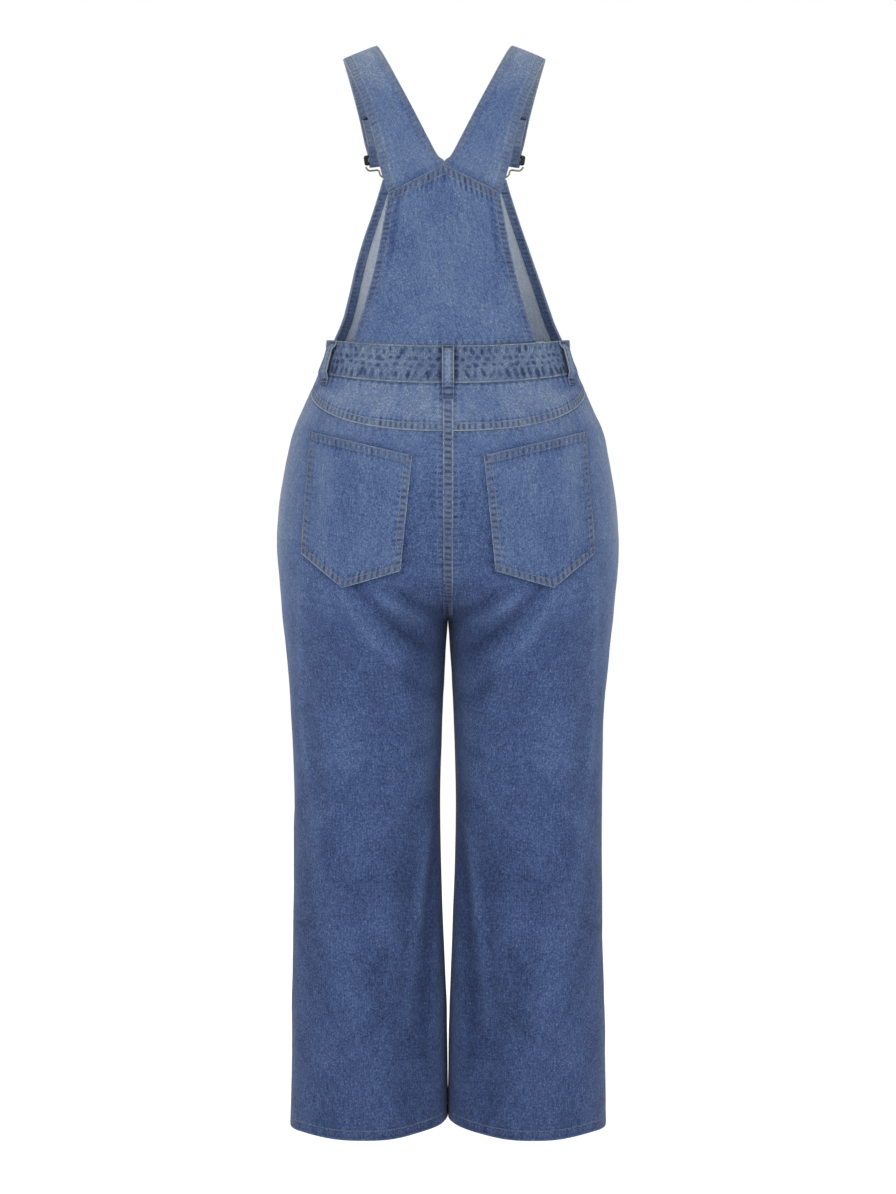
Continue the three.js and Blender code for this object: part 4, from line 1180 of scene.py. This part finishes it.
def pocket_piece(side, name):
    (ax, az), (bx, bz) = POCKET_TOP
    parts = np.linspace(0, 1, 96)
    downs = np.linspace(0, 1, 110)
    low_x = np.interp(parts, [0, POCKET_POINT, 1], [corner[0] for corner in POCKET_BOTTOM])
    low_z = np.interp(parts, [0, POCKET_POINT, 1], [corner[1] for corner in POCKET_BOTTOM])
    high_x, high_z = ax + (bx - ax) * parts, az + (bz - az) * parts
    x = rows_between(high_x, low_x, downs)
    z = rows_between(high_z, low_z, downs)
    points, normals = cloth_at_x(1, side * x, z, POCKET_CLEAR + POCKET_THICKNESS)
    piece = Piece(f"pocket_{name}", points, normals)
    seed = 401 + 5 * side
    piece.uneven(seed, broad=0.5, fine=0.16, scale=40)
    piece.sew("pocket_sides", seed)
    piece.seam_force *= 0.62 + 0.45 * smooth_step(downs[:, None], 0.25, 0.9)
    piece.sew("pocket_top", seed)
    away_top = piece.from_edge("top")[0]
    piece.lift += 0.8 * (1 - smooth_step(away_top, 9.8, 11))
    # Painted shadow just below the raised top hem
    piece.ridge -= 0.9 * bell(away_top - 12, 1.6)
    piece.tone = 0.53 + 0.07 * noise(piece.across / 38, piece.down / 38, seed + 9) - 0.03 * downs[:, None]
    add_cloth(piece, POCKET_THICKNESS, [OUTSIDE, WRONG_SIDE])
    return piece


# Back panel and bib

def upper_panel(name, face, edge, top_of, hem, counts):
    """A panel above the waistband. Its outer columns follow the turned side hems, of the given width."""
    shares = np.linspace(0, 1, counts[0])
    guess = edge[0]["z"] + (edge[-1]["z"] - edge[0]["z"]) * shares
    half = curve_value(edge, "half", guess)[:, None]
    hems = np.linspace(0, hem, 9)[None, :]
    middle = (half - hem - 0.4) * np.linspace(-1, 1, counts[1])[None, :]
    x = np.concatenate([hems - half, middle, half - hems[:, ::-1]], 1)
    top = top_of(x)
    waist = band_top(face, turn_at(face, np.abs(x), band_top(face, 1.0))) + SEAM
    z = top + (waist - top) * shares[:, None]
    points, normals = cloth_at_x(face, x, z)
    if face > 0:
        points[..., 0] += LEAN - lean_at(z)
    in_hem = np.zeros(x.shape, bool)
    in_hem[:, :9] = in_hem[:, -9:] = True
    return Piece(name, points, normals), in_hem


def back_panel_piece():
    end = float(curve_value(BACK_EDGE, "half", CHEVRON_END_Z))

    def top_of(x):
        return CHEVRON_PEAK_Z + (CHEVRON_END_Z - CHEVRON_PEAK_Z) * np.minimum(np.abs(x) / end, 1) - SEAM

    piece, hem = upper_panel("back_panel", 1, BACK_EDGE, top_of, BACK_HEM, (112, 96))
    seed = 501
    piece.uneven(seed, broad=0.8, fine=0.12, scale=60)
    piece.sew("back_panel_sides", seed)
    for edge in ("left", "right"):
        away, along = piece.from_edge(edge)
        shade = bell(away - 15 - along / 30, 4) * (1 - smooth_step(along, 60, 110))
        piece.ridge -= 1.2 * shade
        piece.lift -= 0.9 * shade
    piece.seam_force *= 1 - 0.45 * smooth_step(piece.down / piece.length, 0.3, 0.9)
    piece.sew("back_panel_ends", seed)
    down, along = piece.from_edge("top")
    pleats = np.cos(2 * np.pi * (along / 6.4 + 0.4 * noise(along / 17, 0.5, seed + 6)))
    pleats = pleats * bell(down - 15, 5) * (0.6 + 0.5 * noise(along / 12, 2.5, seed + 7))
    peak = bell(piece.points[..., 0] - LEAN, 3) * bell(down - 14, 7)
    # Painted light and shade on the pleats below the chevron seam, and painted shade in the pucker at its
    # peak
    piece.ridge += 1.1 * pleats - 1.6 * peak
    piece.lift += 0.4 * pleats - 0.6 * peak
    piece.tone = 0.555 + 0.04 * noise(piece.across / 45, piece.down / 45, seed + 4)
    add_cloth(piece, DENIM + HEM_EXTRA * hem, [OUTSIDE, WRONG_SIDE],
              inside=~hem)
    return piece


def bib_piece():
    piece, hem = upper_panel("bib", -1, BIB_EDGE, lambda x: BIB_TOP_Z + 0 * x, BIB_HEM, (108, 110))
    seed = 601
    piece.uneven(seed, broad=0.8, fine=0.12, scale=60)
    piece.sew("bib", seed)
    top_hem = piece.down < BIB_TOP_HEM
    hem = hem | top_hem
    piece.tone = 0.555 + 0.04 * noise(piece.across / 45, piece.down / 45, seed + 4)
    piece.under_tone = np.where(top_hem, 0.14, np.where(hem, 0.05, 0.35))
    add_cloth(piece, DENIM + HEM_EXTRA * hem, [OUTSIDE, WRONG_SIDE],
              inside=~hem)
    return piece


# Felled seam and belt loops

def centre_seam_piece():
    seam = float(yoke_seam(np.array(1.0)))
    z = row_steps((FELL_TOP, seam, 1.6), (seam - 4, FELL_BOTTOM, 1.5))
    off = np.where(z > seam - 2, YOKE_OUT, 0.0) + SEAM
    parts = np.linspace(-1, 1, 17)
    grid_z = np.broadcast_to(z[:, None], (len(z), len(parts)))
    x = FELL_HALF * np.broadcast_to(parts, grid_z.shape)
    base = cloth_at_x(1, x, grid_z)[0]
    way = cloth_at_x(1, x, grid_z, off[:, None] + FELL_THICKNESS)[0] - base
    full = np.linalg.norm(way, axis=-1)
    way[..., 0] *= smooth_step(np.abs(parts), 0.05, 0.8)
    size = np.linalg.norm(way, axis=-1)
    points = base + way * (np.minimum(full / size, FELL_MITRE) ** 2)[..., None]
    normals = way / size[..., None]
    piece = Piece("centre_back_seam", points, normals)
    piece.sew("centre_seam", 701)
    piece.tone = curve_value(LEG_TONE, "tone", grid_z) - 0.02
    # Painted shade towards the crotch
    piece.tone = piece.tone - 0.12 * bell(grid_z - CROTCH_Z, 50)
    add_cloth(piece, FELL_THICKNESS, [OUTSIDE, OUTSIDE])
    return piece


def beside(x, way, z, off):
    """Points on the back a short way along the ring from a place, outwards when the way is positive."""
    side = np.where(x < 0, -1, 1)
    turn = turn_at(1, np.abs(x), z)
    step = 0.01
    reach = ring_point(side, 1, turn, z) - ring_point(side, 1, turn - step, z)
    moved = turn - way * step / np.linalg.norm(reach, axis=-1)
    over = moved > 1
    return cloth(np.where(over, -side, side), 1, np.where(over, 2 - moved, moved), z, off)


def belt_loop_piece(loop):
    length = loop["top"] - loop["bottom"]
    foot = length - loop["foot"]
    stations = [0, LOOP_HEAD, LOOP_HEAD + 5, length / 2, foot - 6, foot, length]
    offs = [BAND_OUT + SEAM, BAND_OUT + SEAM, BAND_OUT + LOOP_STAND, BAND_OUT + LOOP_STAND + 0.4,
            BAND_OUT + LOOP_STAND, YOKE_OUT + SEAM + 0.2, YOKE_OUT + SEAM]
    down = np.linspace(0, length, 64)
    off = np.interp(down, stations, offs) + LOOP_THICKNESS
    for _ in range(2):
        off[1:-1] = np.maximum(off[1:-1], (off[:-2] + off[1:-1] + off[2:]) / 3)
    parts = np.linspace(-1, 1, 17)
    z = np.broadcast_to((loop["top"] - down)[:, None], (len(down), len(parts)))
    middle = np.broadcast_to((loop["x"] + loop["lean"] * down / length)[:, None], z.shape)
    points, normals = beside(middle, LOOP_HALF * parts[None, :], z, off[:, None])
    piece = Piece(loop["name"], points, normals)
    piece.sew("belt_loop", 1000 + loop["x"])
    piece.band("bottom", loop["foot"] + 1, loop["foot"] + 5, -1.6)
    for tack in (2.2, loop["foot"] - 2.2):
        piece.band("bottom", tack - 1.4, tack + 1.4, -1.2)
    piece.tone = np.where(piece.length - piece.down < loop["foot"], 0.56, 0.74)
    add_cloth(piece, LOOP_THICKNESS, [STRAP_SIDE, STRAP_SIDE])
    return piece


# Straps and their metal

def unit(vector):
    return vector / np.linalg.norm(vector)


def hook_frame(side):
    """The button's seat on the bib, and the directions and the slide's middle of the hook above it."""
    seat = cloth_at_x(-1, side * BUTTON_X, BUTTON_Z)[0]
    out = unit(cloth_at_x(-1, side * BUTTON_X, BUTTON_Z, 1)[0] - seat)
    below = unit(cloth_at_x(-1, side * BUTTON_X, BUTTON_Z - 10)[0] - seat)
    level = unit(np.cross(out, below))
    level = level * (1 if level[0] * side > 0 else -1)
    down = unit(below - HOOK_TILT * level)
    outward = unit(level - down * np.dot(level, down))
    middle = seat + out * (SEAM + WIRE_RADIUS + SEAM / 2)
    return {"seat": seat, "out": out, "down": down, "outward": outward, "slide": middle - down * HOOK_LENGTH}


def strap_rows(side):
    at = hook_frame(side)
    layer = SLIDE_THICKNESS / 2 + SEAM + STRAP_THICKNESS / 2
    neck, arm, crown = [], [], []
    for row in STRAP:
        lean = lean_at(row["neck_z"])
        neck.append((side * row["neck_x"] + lean, row["y"], row["neck_z"]))
        arm.append((side * row["arm_x"] + lean, row["y"] - row["drop"], row["arm_z"]))
        crown.append(row["crown"])
    neck, arm = np.array(neck), np.array(arm)

    def at_slide(down, angle):
        out = at["out"] * math.cos(angle) + at["down"] * math.sin(angle)
        middle = at["slide"] + at["down"] * down + out * layer
        return middle - at["outward"] * STRAP_END_HALF, middle + at["outward"] * STRAP_END_HALF, out

    top = at_slide(-SLIDE_HEIGHT / 2, 0)
    middles = (np.vstack([neck, top[0]]) + np.vstack([arm, top[1]])) / 2
    outs = []
    for i in range(len(neck)):
        along = middles[i + 1] - middles[max(i - 1, 0)]
        outs.append(unit(np.cross(arm[i] - neck[i], along) * -side))
    rows = [(neck[i], arm[i], outs[i], crown[i]) for i in range(len(neck))]
    rows.append((*top, 0))
    for part in np.linspace(0, 1, 9):
        rows.append((*at_slide(SLIDE_HEIGHT / 2 - SEAM, math.pi * part), 0))
    for n_, a_, o_, c_ in [(*top, 0)] + rows[len(neck) - 1:len(neck) - 1 - TAIL_ROWS:-1]:
        arm_edge = a_ - unit(a_ - n_) * (TAIL_INSET if c_ else 0)
        rows.append((n_ - o_ * 2 * layer, arm_edge - o_ * 2 * layer, -o_, c_))
    before, last = rows[-2], rows[-1]
    part = TAIL_REACH / np.linalg.norm(last[0] - before[0])
    rows.append((*(last[i] + (last[i] - before[i]) * part for i in range(2)), last[2], last[3]))
    return rows


def spread_rows(rows, step):
    """Fine rows along a smooth curve through the given ones."""
    neck, arm, out = (np.array([row[i] for row in rows]) for i in range(3))
    crown = np.array([row[3] for row in rows], float)[:, None]
    gaps = np.linalg.norm(np.diff((neck + arm) / 2, axis=0), axis=-1)
    run = np.concatenate([[0], np.cumsum(np.maximum(gaps, 1e-3))])
    fine = np.linspace(0, run[-1], int(run[-1] / step) + 1)
    fine = np.unique(np.concatenate([fine, run]))

    def curve(values):
        slopes = np.empty_like(values)
        slopes[1:-1] = (values[2:] - values[:-2]) / (run[2:] - run[:-2])[:, None]
        slopes[0] = (values[1] - values[0]) / (run[1] - run[0])
        slopes[-1] = (values[-1] - values[-2]) / (run[-1] - run[-2])
        i = np.clip(np.searchsorted(run, fine, side="right") - 1, 0, len(run) - 2)
        span = (run[i + 1] - run[i])[:, None]
        return cubic((fine - run[i])[:, None] / span, i, span, values, slopes)

    out = curve(out)
    return curve(neck), curve(arm), out / np.linalg.norm(out, axis=-1, keepdims=True), curve(crown)


def strap_piece(side, name):
    neck, arm, out, crown = spread_rows(strap_rows(side), STRAP_STEP)
    parts = np.linspace(0, 1, 27)
    points = neck[:, None, :] + (arm - neck)[:, None, :] * parts[None, :, None]
    normals = np.broadcast_to(out[:, None, :], points.shape).copy()
    crowned = crown * (4 * parts * (1 - parts))[None, :] + STRAP_THICKNESS / 2
    points = points + normals * crowned[..., None]
    piece = Piece(f"strap_{name}", points, normals)
    seed = 901 + side
    down, across = piece.down, piece.across
    piece.lift += 0.25 * noise(across / 22, down / 40, seed) + 0.08 * noise(across / 7, down / 7, seed + 1)
    piece.sew("strap", seed)
    piece.ridge += 1.0 * bell(piece.width - across - 11.6, 0.9)
    piece.ridge -= 0.9 * bell(across - 9.4, 1.2)
    front = points[..., 1] < STRAP_FRONT_Y
    tail = front & (down > down.max() - TAIL_LENGTH)
    top_light = bell(points[..., 2] + 2, 42)
    # Painted highlight where the strap turns over the shoulder
    piece.tone = np.where(front, 0.52, 0.6) + 0.3 * top_light
    piece.tone = piece.tone + 0.05 * noise(across / 16, down / 60, seed + 4)
    piece.under_tone += np.where(front, 0.24, 0.14)
    # Painted light on the folded tail, which lies in shade
    piece.tone += 0.24 * tail
    add_cloth(piece, STRAP_THICKNESS, [STRAP_SIDE, OUTSIDE])
    return piece


def frame_points(at, local):
    """Places points given across, down and out of a hook's frame."""
    local = np.asarray(local, float)
    return at["slide"] + local @ np.array([at["outward"], at["down"], at["out"]])


def smooth_path(points, count):
    """Points along a Catmull-Rom curve, evenly by number."""
    points = np.asarray(points, float)
    padded = np.vstack([2 * points[0] - points[1], points, 2 * points[-1] - points[-2]])
    result = []
    for t in np.linspace(0, len(points) - 1 - 1e-9, count):
        i, f = int(t), t - int(t)
        p0, p1, p2, p3 = padded[i:i + 4]
        result.append(0.5 * (2 * p1 + (p2 - p0) * f + (2 * p0 - 5 * p1 + 4 * p2 - p3) * f**2
                             + (3 * p1 - p0 - 3 * p2 + p3) * f**3))
    return np.array(result)


def ringed_mesh(name, rings, tips=()):
    """A mesh over rings of points in a row, with a tip at each end or else closed on itself."""
    rows, count = len(rings), len(rings[0])
    faces = []
    for i in range(rows - 1 if len(tips) else rows):
        j = (i + 1) % rows
        for k in range(count):
            m = (k + 1) % count
            faces.append((i * count + k, i * count + m, j * count + m, j * count + k))
    for k in range(count if len(tips) else 0):
        m = (k + 1) % count
        faces.append((m, k, rows * count))
        faces.append(((rows - 1) * count + k, (rows - 1) * count + m, rows * count + 1))
    return new_mesh(name, np.concatenate([*rings, *(np.reshape(tip, (1, 3)) for tip in tips)]), faces)


def circle(middle, radius, across, above, count):
    angles = 2 * math.pi * np.arange(count)[:, None] / count
    return middle + radius * (np.cos(angles) * across + np.sin(angles) * above)


def tube_mesh(name, path, radius, sides=14):
    tangents = np.gradient(path, axis=0)
    tangents /= np.linalg.norm(tangents, axis=-1, keepdims=True)
    up = unit(np.cross(tangents[0], tangents[len(tangents) // 3]))
    rings = []
    for point, tangent in zip(path, tangents):
        across = unit(np.cross(up, tangent))
        rings.append(circle(point, radius, across, np.cross(tangent, across), sides))
    tips = [path[0] - tangents[0] * radius / 2, path[-1] + tangents[-1] * radius / 2]
    return ringed_mesh(name, rings, tips)


def lathe_mesh(name, profile, seat, out, segments=48):
    helper = np.array([1.0, 0, 0]) if abs(out[0]) < 0.9 else np.array([0, 0, 1.0])
    across = unit(np.cross(out, helper))
    above = np.cross(out, across)
    rings = []
    for radius, height in profile[1:-1]:
        rings.append(circle(seat + out * height, radius, across, above, segments))
    return ringed_mesh(name, rings, [seat + out * profile[0][1], seat + out * profile[-1][1]])


def button_profile(shank):
    """Radius and height of a shank, a rim, and a face with a shallow ring in it."""
    cap, top = shank, shank + CAP_THICKNESS
    stem = [(0, 0), (SHANK_RADIUS - 0.2, 0), (SHANK_RADIUS, 0.2), (SHANK_RADIUS, cap - 0.2)]
    below = [(-0.8, 0), (-0.15, 0.25), (0, 0.8)]
    above = [(-0.05, -0.9), (-0.5, -0.25), (-1.1, 0), (-2, 0), (-2.5, -0.15), (-2.8, -0.55), (-3.3, -0.65)]
    rim = ([(SHANK_RADIUS + 0.3, cap)] + [(CAP_RADIUS + r, cap + h) for r, h in below]
           + [(CAP_RADIUS + r, top + h) for r, h in above])
    face = [(4.2, -0.62), (3.9, -0.35), (3.4, -0.2), (2, -0.08), (0, 0)]
    return stem + rim + [(r, top + h) for r, h in face]


def add_button(name, seat, out, shank):
    mesh = lathe_mesh(name, button_profile(shank), seat + out * SEAM, out)
    add_object(name, mesh, [BUTTON_METAL], [name])


def slide_mesh(name, at):
    """A flat frame with rounded corners and softened edges."""
    def corners(half_x, half_y, radius):
        points = []
        for quarter in range(4):
            cx = (half_x - radius) * (1 if quarter in (0, 3) else -1)
            cy = (half_y - radius) * (1 if quarter in (0, 1) else -1)
            for step in range(9):
                angle = math.pi / 2 * (quarter + step / 8)
                points.append((cx + radius * math.cos(angle), cy + radius * math.sin(angle)))
        return np.array(points)

    half_y, thick, soft = SLIDE_HEIGHT / 2, SLIDE_THICKNESS / 2, SLIDE_SOFT
    hole_x, hole_y = STRAP_END_HALF + SLIDE_SLACK, half_y - SLIDE_RAIL
    levels = [
        (0, -thick + soft, 0), (soft, -thick, 0), (soft, -thick, 1), (0, -thick + soft, 1),
        (0, thick - soft, 1), (soft, thick, 1), (soft, thick, 0), (0, thick - soft, 0),
    ]
    rings = []
    for inset, height, hole in levels:
        if hole:
            outline = corners(hole_x + inset, hole_y + inset, SLIDE_HOLE_CORNER + inset)
        else:
            outline = corners(SLIDE_HALF - inset, half_y - inset, SLIDE_CORNER - inset)
        rings.append(frame_points(at, np.column_stack([outline, np.full(len(outline), height)])))
    return ringed_mesh(name, rings)


def add_strap_metal(side, name):
    at = hook_frame(side)
    half = [(x, y, 0) for x, y in HOOK_WIRE]
    wire = smooth_path(half + [(-x, y, 0) for x, y, _ in reversed(half)], WIRE_POINTS)
    hook, slide = f"hook_{name}", f"slide_{name}"
    add_object(hook, tube_mesh(hook, frame_points(at, wire), WIRE_RADIUS), [WIRE_METAL], [hook])
    add_object(slide, slide_mesh(slide, at), [BLACK_METAL], [slide])
    add_button(f"bib_button_{name}", at["seat"], at["out"], CLEAR_SHANK)
    for row in SIDE_BUTTONS:
        seat = cloth(side, -1, row["turn"], row["z"], row["out"])[0]
        out = unit(cloth(side, -1, row["turn"], row["z"], row["out"] + 1)[0] - seat)
        add_button(f"side_button_{name}_{row['name']}", seat, out, SIDE_SHANK)


# Stitches

def run_along(points):
    """The distance from a line's first point to each of its points."""
    return np.concatenate([[0], np.cumsum(np.linalg.norm(np.diff(points, axis=0), axis=-1))])


def sample(values, run, at):
    """A line's values at the given distances along it."""
    return np.stack([np.interp(at, run, values[:, k]) for k in range(3)], -1)


def stitch_corners(points, ways, shape, rng):
    """Corners of the stitches along a line, each a small pointed capsule that lies on the cloth."""
    run, pitch = run_along(points), shape["pitch"]
    centres = np.array([run[-1] / 2])
    if run[-1] > pitch:
        centres = np.arange(pitch / 2, run[-1] - pitch / 4, pitch)
    middle = sample(points, run, centres)
    along = sample(points, run, centres + 0.8) - sample(points, run, centres - 0.8)
    along /= np.maximum(np.linalg.norm(along, axis=-1, keepdims=True), 1e-9)
    out = sample(ways, run, centres)
    out /= np.linalg.norm(out, axis=-1, keepdims=True)
    across = np.cross(along, out)
    along = along + across * rng.normal(0, 0.05, (len(centres), 1))
    half = shape["length"] / 2 * rng.uniform(0.9, 1.05, (len(centres), 1))
    middle = middle + out * 0.06
    corners = []
    for share in (-0.62, 0.62):
        ring_centre = middle + along * half * share
        for a, b in ((-1, 0), (0, 1), (1, 0), (0, -0.8)):
            corners.append(ring_centre + across * a * shape["half_width"] + out * b * shape["height"])
    corners.append(middle - along * half - out * 0.1)
    corners.append(middle + along * half - out * 0.1)
    return np.stack(corners, 1).reshape(-1, 3)


def add_stitches(name, lines, seed, thread, shape=STITCH):
    rng = np.random.default_rng(seed)
    lines = [line for line in lines if len(line[0]) > 1]
    vertices = np.concatenate([stitch_corners(points, ways, shape, rng) for points, ways in lines])
    faces = [tuple(first + corner for corner in face)
             for first in range(0, len(vertices), STITCH_CORNERS) for face in STITCH_FACES]
    add_object(name, new_mesh(name, vertices, faces), [thread])


def bartack(points, ways, width):
    """Close stitches side by side across a short line, as lines of one stitch each."""
    run = run_along(points)
    lines = []
    for at in np.arange(0.3, run[-1], TACK_STEP):
        middle, out = sample(points, run, at), sample(ways, run, at)
        along = sample(points, run, at + 0.5) - sample(points, run, at - 0.5)
        across = np.cross(unit(along), unit(out)) * width / 2
        middle = middle + unit(out) * 0.15
        lines.append((np.array([middle - across, middle + across]), np.array([out, out])))
    return lines


def add_piping(name, points, radius, tone):
    """A thin rolled ridge of cloth along a seam."""
    mesh = tube_mesh(name, points, radius, PIPING_SIDES)
    values = {"tone": tone, "ridge": 0.0, "seam_away": FAR, "seam_run": 0.0, "seam_force": 0.0}
    for attribute, value in values.items():
        set_values(mesh, attribute, np.full(len(mesh.vertices), value))
    number = np.arange(len(mesh.vertices))
    set_cut(mesh, np.stack([number % PIPING_SIDES, number // PIPING_SIDES], -1) * radius * MM)
    add_object(name, mesh, [OUTSIDE])


def add_seam_allowance(name, strap, panel):
    """The cloth behind the seam between a strap's foot and the back panel."""
    under_strap = strap.surface() - strap.normals * (STRAP_THICKNESS + SEAM)
    under_panel = panel.surface() - panel.normals * (DENIM + SEAM)
    foot = under_strap[0, 1:-1]
    order = np.argsort(under_panel[0, :, 0])

    def below(row):
        line = under_panel[row][order]
        return sample(line, line[:, 0], foot[:, 0])

    points = np.stack([under_strap[3, 1:-1], under_strap[1, 1:-1], foot, below(0), below(3)])
    normals = np.broadcast_to(strap.normals[0, 1:-1], points.shape).copy()
    add_cloth(Piece(f"seam_allowance_{name}", points, normals), ALLOWANCE_THICKNESS, [OUTSIDE],
              stands_in=False)


def pocket_tacks(pocket):
    """Short bars at the two top corners."""
    lines = []
    for edge in ("left", "right"):
        points, ways = pocket.line(edge, 2.4)
        lines.extend(bartack(points[:6], ways[:6], 3.4))
    return lines


def loop_tacks(piece, foot):
    """Bars across a belt loop: at its head, at the top of its foot and at its end."""
    lines = []
    for edge, at in (("top", 2.4), ("bottom", 2.2), ("bottom", foot - 2)):
        points, ways = piece.line(edge, at)
        lines.extend(bartack(points[1:-1], ways[1:-1], 2.2))
    return lines


set_stage()
look_at_garment()

pieces = {}
for side, name in SIDES:
    pieces[f"back_leg_{name}"] = leg_panel(side, name, 1)
    pieces[f"front_leg_{name}"] = leg_panel(side, name, -1)
    pieces[f"yoke_{name}"] = yoke_piece(side, name)
    pieces[f"pocket_{name}"] = pocket_piece(side, name)
    pieces[f"strap_{name}"] = strap_piece(side, name)
    add_strap_metal(side, name)
pieces["waistband_back"] = waistband(1, "waistband_back")
pieces["waistband_front"] = waistband(-1, "waistband_front")
pieces["back_panel"] = back_panel_piece()
pieces["bib"] = bib_piece()
pieces["centre_back_seam"] = centre_seam_piece()
for loop in LOOPS:
    pieces[loop["name"]] = belt_loop_piece(loop)

for _, name in SIDES:
    add_seam_allowance(name, pieces[f"strap_{name}"], pieces["back_panel"])
    tail = pieces[f"strap_{name}"]
    # The tail's rolled edge has a near-black tone: a painted shadow at the end of the folded tail
    add_piping(f"tail_edge_{name}", tail.surface()[-1, 1:-1] - 0.5 * tail.normals[-1, 1:-1], 1.1, 0.02)
seam_points, seam_ways = pieces["back_panel"].line("top", 0)
middle = len(seam_points) // 2
for name, part in (("right", slice(0, middle + 1)), ("left", slice(middle, None))):
    add_piping(f"chevron_ridge_{name}", seam_points[part] + (0, 0.1, 0.2), 0.75, 0.74)

for number, (name, piece) in enumerate(pieces.items()):
    if piece.rows:
        thread = LOOP_THREAD if name.startswith("belt_loop") else THREAD
        add_stitches(f"stitches_{name}", piece.stitch_lines(), STITCH_SEED + number, thread)
tacks = [line for _, name in SIDES for line in pocket_tacks(pieces[f"pocket_{name}"])]
add_stitches("tacks_pockets", tacks, POCKET_TACK_SEED, TACK_THREAD, TACK)
tacks = [line for loop in LOOPS for line in loop_tacks(pieces[loop["name"]], loop["foot"])]
add_stitches("tacks_loops", tacks, LOOP_TACK_SEED, TACK_THREAD, TACK)

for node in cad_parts.values():
    if not node.data.materials:
        node.data.materials.append(OUTSIDE)
